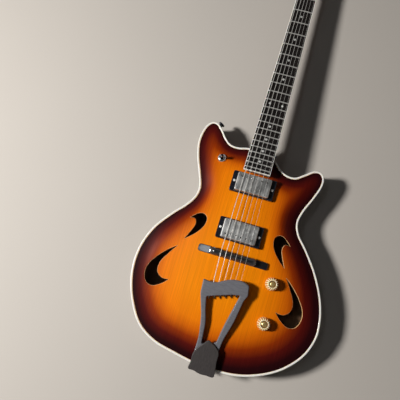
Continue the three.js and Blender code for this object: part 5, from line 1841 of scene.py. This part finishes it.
@dataclass
class Tailpiece(Assembly):
    """The frame that holds the strings, its cap with the bracket, and both strap buttons."""

    cap_low: float = 4.3
    cap_high: float = 8.3
    lip: tuple[float, float, float, float] = (-12, 12, -232.7, -228.7)
    lip_depth: float = 44
    end_place: Triple = (0, -233, 36)
    horn_place: Triple = (-106.9, 256.9, 36)
    horn_way: Pair = (0.4526, 0.8917)
    button_radius: float = 6.5
    button_length: float = 11.0

    def build(self) -> None:
        """Makes them all."""
        skin = Skin()
        half = SIZES.tail_thickness / 2
        slab(skin, self.line(TAIL_OUTER_RUNS), [self.line(TAIL_INNER_RUNS)],
             half, -half, 2.2, 2.4, 6)
        skin.build("tail_frame", (GREY_EBONY,), "grey_ebony", ("tailpiece",), TAIL_FRAME)
        self.cap()
        self.button("end_button", self.end_place, (0, -1), NICKEL, "nickel")
        self.button("horn_button", self.horn_place, self.horn_way, BLACK_PLASTIC,
                    "black_plastic")

    def place(self, shares: Points) -> Array:
        """Tailpiece shares as places in its frame."""
        given = np.asarray(shares, float)
        y = (given[:, 1] * SIZES.tail_span - TAIL_FRONT) / math.cos(math.radians(SIZES.tail_tilt))
        return np.stack([given[:, 0] * SIZES.tail_width, y], 1)

    def line(self, runs: Sequence[Points]) -> Array:
        """A closed outline from runs that meet at corners, slightly eased."""
        parts = [smooth_run(self.place(run), 10)[:-1] for run in runs]
        return softened(spaced(np.vstack(parts), 1.1), 4)

    def cap(self) -> None:
        """The cap over the tail end of the frame and the bracket down to the end button."""
        line = softened(spaced(smooth_run(self.place(CAP_SHARES), 8, closed=True), 0.9), 2)
        skin = Skin()
        slab(skin, line, (), self.cap_high, self.cap_low - 0.2, 1.2, 0, 5)
        skin.build("tail_cap", (CAP_EBONY,), "grey_ebony", ("tailpiece_cap",), TAIL_FRAME)
        x0, x1, y0, y1 = self.lip
        drop = (TAIL_FRONT - y1) * math.tan(math.radians(SIZES.tail_tilt))
        high = SIZES.tail_height - drop + SIZES.tail_thickness / 2 + 2
        bracket = Skin()
        middle = ((x0 + x1) / 2, (y0 + y1) / 2)
        slab(bracket, rounded_rectangle(x1 - x0, y1 - y0, 1.5) + middle, (), high,
             high - self.lip_depth, 0.6)
        bracket.build("tail_bracket", (CAP_EBONY,), "grey_ebony", ("tailpiece_cap",))

    def button(self, node: str, base: Sequence[float], out: Sequence[float], finish: Finish,
               slot: str) -> None:
        """A turned strap button on the rim.

        Args:
            node: The CAD node that it stands for.
            base: Where it meets the rim.
            out: The flat direction that it points in.
            finish: Its finish.
            slot: The record's material slot.
        """
        size, length = self.button_radius, self.button_length
        profile = [(0, 0), (1, 0), (1.0, 0.12), (0.8, 0.26), (0.65, 0.38), (0.6, 0.5),
                   (0.66, 0.62), (0.9, 0.74), (1.12, 0.83), (1.154, 0.9), (1.1, 0.97), (0.95, 1.0),
                   (0, 1.0)]
        where = frame_matrix(base)
        where[:3, :3] = np.array([(-out[1], out[0], 0), (0, 0, 1), (*out, 0)]).T
        skin = Skin()
        skin.lathe([(r * size, h * length) for r, h in profile], 40, where)
        slotted_head(skin, (0, 0, length - 0.1), 2.8, 0.6, 30, where)
        skin.build(f"{node}_turned", (finish,), slot, (node,))


@dataclass
class Controls(Assembly):
    """The knobs, the switch and the output jack."""

    knob_radius: float = 13
    knob_lift: float = 1.6
    knob_height: float = 14.5
    flutes: int = 16
    jack_place: Triple = (199.3, -98.03, 36.5)

    def build(self) -> None:
        """Makes them all."""
        for name, share in zip(("volume", "tone"), KNOB_SHARES):
            x, y = on_body([share])[0]
            self.knob(name, (x, y, top_height(x, y)))
        x, y = on_body([SWITCH_SHARE])[0]
        self.switch((x, y, top_height(x, y)))
        self.jack()

    def knob(self, name: str, base: Sequence[float]) -> None:
        """A fluted knob: a clear amber shell over a gold middle.

        Args:
            name: What it controls.
            base: The top's place under it.
        """
        where = frame_matrix(base)
        low, tall, size = self.knob_lift, self.knob_height, self.knob_radius
        high = low + tall

        def flute(r: Array, h: Array, a: Array) -> Array:
            """Flutes between the skirt and the rim of the dish, narrow and pointed inwards."""
            strength = np.clip((h - low - 1.0) / 1.5, 0, 1) * np.clip((r - 7.6) / 1.5, 0, 1)
            return r - 1.1 * strength * ((1 - np.cos(self.flutes * a)) / 2) ** 1.6

        def groove(points: Array) -> Array:
            """How deep in a flute a point is, from 0 to 1; the knob's finish paints deeper points
            darker, as shade.
            """
            turn = np.arctan2(points[:, 1] - base[1], points[:, 0] - base[0])
            away = np.hypot(points[:, 1] - base[1], points[:, 0] - base[0])
            return ((1 - np.cos(self.flutes * turn)) / 2) ** 1.6 * np.clip((away - 7.2) / 1.2, 0, 1)

        shell = Skin()
        for sides, slot, ripple, profile in (
            (192, 0, flute, ((1.4, tall), (0.2, tall), (0, tall - 0.3), (0, tall - 1.2),
                             (0.3, tall - 2), (0.7, tall - 4), (1, tall - 7), (1.4, 3.6),
                             (1.9, 2.2), (2.7, 1.1), (3.6, 0.45), (4.5, 0.1), (5.2, 0),
                             (5.8, 0.15), (6.1, 0.5))),
            (96, 1, None, ((6.1, 0.5), (6.3, 1.4), (6.9, 1.9), (8.2, 2))),
            (96, 2, None, ((8.2, 2), (8.5, 1.3), (9.2, 0.9), (10.5, 0.65), (size, 0.5))),
        ):
            shell.lathe([(size - inset, high - drop) for inset, drop in profile], sides, where,
                        slot, ripple)
        shell.lathe([(size - 1.4, low), (7.4, low), (7.2, low + 4.8), (3.1, low + 5),
                     (3.1, -12), (0, -12)], 48, where, 1)
        shell.build(f"{name}_shell", (AMBER, AMBER_DARK, GOLD_FOIL), "amber_plastic",
                    (f"{name}_knob",), depth=groove, body=f"{name}_control")

    def switch(self, base: Sequence[float]) -> None:
        """A domed nut on the top, a can under it, and the lever with its tip.

        Args:
            base: The top's place under it.
        """
        where = frame_matrix(base)
        nut = Skin()
        nut.lathe([(3.8, 3.2), (4.05, 4.5), (4.6, 4.9), (6.2, 4.6), (7.8, 3.6), (8.7, 2.4),
                   (9, 1.6), (9, 0.4), (8.8, 0.1), (5.9, 0.1), (5.9, -5.3), (8, -5.4), (8, -31),
                   (0, -31)], 64, where)
        nut.lathe([(3.8, 3.2), (3.2, 0), (2.9, -2), (3.1, -3), (3.5, -4.2), (3.5, -6.4),
                   (2.6, -8.2), (1.2, -8.8), (0, -8.9)], 64, where)
        nut.build("switch_nut", (CHROME,), "nickel", ("switch_body",))
        lever = Skin()
        lever.lathe([(0, -8.2), (2.0, -7.4), (3.0, -5.2), (2.1, -3.1), (1.5, -2.2), (1.5, 11.2)],
                    32, where)
        lever.lathe([(1.5, 10.8), (2.2, 10.9), (2.7, 12), (3.1, 15), (3.35, 18), (3.2, 20),
                     (2.5, 21.3), (1.3, 21.85), (0, 21.9)], 48, where, 1)
        lever.build("switch_lever_tip", (CHROME, BLACK_PLASTIC), "black_plastic",
                    ("switch_lever",), body="pickup_switch")

    def jack(self) -> None:
        """The jack's flange, hexagonal nut and bore on the treble side."""
        where = frame_matrix(self.jack_place)
        where[:3, :3] = [[0, 0, 1], [0, 1, 0], [-1, 0, 0]]
        skin = Skin()
        skin.lathe([(3.4, 2.2), (5.2, 2.2), (5.2, 0.4), (9.2, 0.4), (9.5, 0.2), (9.5, -0.3),
                    (6, -0.4), (6, -28.9), (0, -28.9)], 64, where)
        skin.lathe([(3.4, 2.2), (3.35, 1.9), (3.35, -26), (0, -26)], 48, where, 1)
        nut = Skin()
        slab(nut, spaced(circle((0, 0), 7.6, 6), 1), [circle((0, 0), 5)], 2.0, 0.3, 0.3, 0.7)
        skin.add(moved(nut.place(), where), nut.faces)
        skin.build("jack_socket", (NICKEL, BLACK_PLASTIC), "nickel", ("output_jack",))


def edge_at(runs: Array, x: float) -> float:
    """The y of an edge at one x."""
    order = np.argsort(runs[:, 0])
    return float(np.interp(x, runs[order, 0], runs[order, 1]))


@dataclass
class StringSet(Assembly):
    """Six strings from their ball ends to their posts, each in two spans that meet on the
    saddle."""

    turns: int = 2
    steps: int = 24
    coil_height: float = 4.3
    sides: int = 10
    ball_radius: float = 1.9
    ball_length: float = 4
    ball_gap: float = 0.3

    def build(self) -> None:
        """Makes the spans."""
        tail = Tailpiece()
        front = smooth_run(tail.place(TAIL_OUTER_RUNS[0]), 10)
        rear = smooth_run(tail.place(TAIL_INNER_RUNS[0]), 10)
        for string in STRINGS:
            self.spans(string, edge_at(front, string.tail_x), min(
                edge_at(rear, string.tail_x + side * self.ball_radius) for side in (-1, 1)))

    def spans(self, string: String, front: float, rear: float) -> None:
        """One string: the span behind the bridge and the span over the fingerboard.

        Args:
            string: The string.
            front: The tailpiece bar's front edge on its line.
            rear: The bar's rear edge there.
        """
        radius, across, back = string.radius, string.tail_x, rear - self.ball_gap
        tail = moved(np.array([(across, back, 0), (across, front, 0)]), TAIL_FRAME)
        crest = np.array([string.bridge_x, -SIZES.crest_setback,
                          SIZES.crest_floor(string.bridge_x) + radius])
        height = SIZES.nut_floor(string.nut_x) + radius
        nut = moved(np.array([(string.nut_x, SIZES.scale, height),
                              (string.nut_x, SIZES.scale + SIZES.nut_length, height)]), NECK_FRAME)
        finish = PLAIN_STRING if string.number <= 3 else WoundSteel(
            f"wound_string_{string.number}", (0.93, 0.91, 0.87), 0.2 + 0.25 * radius)
        behind = Skin()
        straight = np.linspace(0, 1, 24)[:, None]
        points = np.vstack([tail[0], tail[1] + (crest - tail[1]) * straight])
        behind.tube(wire(points, radius, self.sides))
        ball = moved(np.array([(across, back - reach, 0) for reach in
                               np.linspace(0, self.ball_length, 9)]), TAIL_FRAME)
        swell = self.ball_radius * np.array([0.75, 0.97, 1, 0.8, 0.7, 0.8, 1, 0.97, 0.75])
        behind.tube(wire(ball, swell, 20), 1)
        piece = behind.build(f"string_{string.number}_tail_span", (finish, BALL_END_SHADE),
                             "string_steel", (f"string_{string.number}",), body="")
        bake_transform(piece)
        ahead = Skin()
        points = np.vstack([crest + (nut[0] - crest) * np.linspace(0, 1, 60)[:, None], nut[1:],
                            self.coil(string, nut[1])])
        ahead.tube(wire(points, radius, self.sides))
        piece = ahead.build(f"string_{string.number}_main_span", (finish,), "string_steel",
                            (f"string_{string.number}",), body="")
        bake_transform(piece)

    def coil(self, string: String, start: Array) -> Array:
        """The windings round the post, from where a tangent from the nut meets them.

        Args:
            string: The string.
            start: Where it leaves the nut.

        Returns:
            The middle line of a rising helix.
        """
        post = TUNERS[string.number - 1]
        x, y = post.spot
        local = moved(start[None], np.linalg.inv(HEAD_FRAME))[0]
        wrap = post.post_radius + 0.1 + string.radius
        first = math.atan2(y - local[1], x - local[0]) + math.pi - post.side * math.acos(
            wrap / math.hypot(x - local[0], y - local[1]))
        share = np.arange(self.turns * self.steps + 1) / self.steps
        angle = first - post.side * FULL_TURN * share
        height = self.coil_height + (2 * string.radius + 0.12) * share
        return moved(np.stack([x + wrap * np.cos(angle), y + wrap * np.sin(angle), height], 1),
                     HEAD_FRAME)


@dataclass
class InnerWork(Assembly):
    """The frame's own solids that stay, in better materials."""

    finishes: dict[str, Finish] = field(default_factory=lambda: {
        "neck_block": SPRUCE, "tail_block": SPRUCE, "bass_tone_bar": SPRUCE,
        "treble_tone_bar": SPRUCE, "truss_rod": TOOL_STEEL, "volume_pot": TOOL_STEEL,
        "tone_pot": TOOL_STEEL, "treble_tuner_plate": NICKEL, "bass_tuner_plate": NICKEL,
    })
    bevelled: tuple[str, ...] = ("treble_tuner_plate", "bass_tuner_plate")

    def build(self) -> None:
        """Gives each solid its material, and soft edges to those that show."""
        for node, finish in self.finishes.items():
            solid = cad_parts[node]
            solid.data.materials.clear()
            solid.data.materials.append(finish.build())
            if node in self.bevelled:
                soft = solid.modifiers.new("soft_edges", "BEVEL")
                soft.width, soft.segments, soft.limit_method = 0.0003, 2, "ANGLE"
            log.info("%s: dressed in %s", node, finish.name)


# Studio


def backdrop_rays(nodes: Nodes) -> Socket:
    """Picks the rays that show the backdrop: the camera's, and those off gloss and through glass.

    Args:
        nodes: The nodes of the floor or the sky.

    Returns:
        A socket that is 1 for these rays and 0 for the rest.
    """
    path = nodes.tree.nodes.new("ShaderNodeLightPath")
    seen = path.outputs["Is Camera Ray"]
    for kind in ("Is Glossy Ray", "Is Transmission Ray"):
        seen = nodes.maths("ADD", seen, path.outputs[kind], clamp=True)
    return seen


@dataclass(frozen=True)
class Lamp:
    """A round light that looks at the guitar, placed in metres."""

    name: str
    place: Triple
    size: float
    power: float
    colour: Colour


@dataclass
class Studio:
    """The floor, the lights and the camera, in metres."""

    camera_place: Triple = (-0.0085, -0.0594, 0.8952)
    right: Triple = (0.9556, 0.2902, -0.0508)
    down: Triple = (0.2759, -0.9418, -0.1919)
    ahead: Triple = (-0.1035, 0.1694, -0.9801)
    lens: float = 36.9
    floor_colour: Colour = (0.53, 0.49, 0.445)
    floor_half: float = 12.0
    floor_fade: Pair = (1, 3)
    sky_colour: Colour = (1.0, 0.97, 0.93)
    sky_strength: float = 0.03
    sky_fade: Pair = (0.3, 0.6)
    aim: Triple = (0, 0.05, 0.05)
    key: Lamp = Lamp("key", (-1.67, -0.27, 1.68), 0.36, 66, (1.0, 0.985, 0.96))
    window: Lamp = Lamp("window", (-0.74, 0.126, 2.17), 0.3, 1.3, (0.85, 0.93, 1.0))
    fill: Lamp = Lamp("fill", (1.3, -0.8, 1.6), 1.4, 0.7, (0.95, 0.97, 1.0))

    def build(self) -> None:
        """Sets up all of it."""
        self.floor()
        self.lights()
        self.camera()

    def floor(self) -> None:
        """A wide pale floor just under the back, which fades into the backdrop's colour far
        from the guitar."""
        mesh = bpy.data.meshes.new("floor")
        side = self.floor_half
        mesh.from_pydata([(-side, -side, 0), (side, -side, 0), (side, side, 0),
                          (-side, side, 0)], [], [(0, 1, 2, 3)])
        sketch = NodeSketch("pale_floor")
        cloud = sketch.noise(sketch.place, 1.5, 3)
        low = tuple(0.97 * value for value in self.floor_colour)
        sketch.shade(Base_Color=sketch.ramp(cloud, ((0.3, low), (0.7, self.floor_colour))),
                     Roughness=0.75)
        away = sketch.node("VectorMath", "Value", {0: sketch.place}, operation="LENGTH")
        seen = sketch.maths("MULTIPLY", backdrop_rays(sketch),
                            sketch.spread(away, 0, 1, self.floor_fade))
        backdrop = sketch.node("Emission", "Emission", {"Color": self.floor_colour})
        sketch.feed(sketch.either(seen, sketch.shader.outputs["BSDF"], backdrop),
                    sketch.tree.nodes["Material Output"].inputs["Surface"])
        mesh.materials.append(sketch.material)
        floor = placed("floor", mesh)

    def lights(self) -> None:
        """A soft key from the left, a window above the bridge's bass end, a weak fill from the
        right, and a dim sky above the backdrop."""
        for lamp in (self.key, self.window, self.fill):
            glow = bpy.data.lights.new(lamp.name, "AREA")
            glow.shape, glow.size = "DISK", lamp.size
            glow.energy, glow.color = lamp.power, lamp.colour
            light = placed(lamp.name, glow)
            light.location = lamp.place
            way = Vector(self.aim) - Vector(lamp.place)
            light.rotation_euler = way.to_track_quat("-Z", "Y").to_euler()
        world = bpy.context.scene.world or bpy.data.worlds.new("sky")
        bpy.context.scene.world = world
        world.use_nodes = True
        air = Nodes(world.node_tree)
        sky = air.tree.nodes["Background"]
        air.feed(self.sky_colour, sky.inputs["Color"])
        air.feed(self.sky_strength, sky.inputs["Strength"])
        way = air.node("TexCoord", "Generated", {})
        low = air.spread(air.node("SeparateXYZ", "Z", {"Vector": way}), 1, 0, self.sky_fade)
        share = air.maths("MULTIPLY", low, backdrop_rays(air))
        backdrop = air.node("Background", "Background", {"Color": self.floor_colour})
        air.feed(air.either(share, sky.outputs["Background"], backdrop),
                 air.tree.nodes["World Output"].inputs["Surface"])

    def camera(self) -> None:
        """The camera where the photograph was taken from."""
        lens = bpy.data.cameras.new("camera")
        lens.lens, lens.sensor_width, lens.clip_start = self.lens, 36, 0.01
        camera = placed("camera", lens)
        rows = np.array([self.right, [-v for v in self.down], [-v for v in self.ahead]])
        camera.matrix_world = Matrix.Translation(self.camera_place) @ Matrix(
            rows.T.tolist()).to_4x4()
        bpy.context.scene.camera = camera
        bpy.context.scene.view_settings.view_transform = "Standard"


def main() -> None:
    """Builds the guitar and its studio."""
    logging.basicConfig(level=logging.INFO, format="%(message)s")
    assemblies: list[Assembly] = [
        Body(), Neck(), *(Pickup(place) for place in PICKUP_PLACES), Bridge(), Tailpiece(),
        Controls(), *TUNERS, StringSet(), InnerWork(),
    ]
    for assembly in assemblies:
        assembly.build()
    Studio().build()


if __name__ == "__main__":
    main()
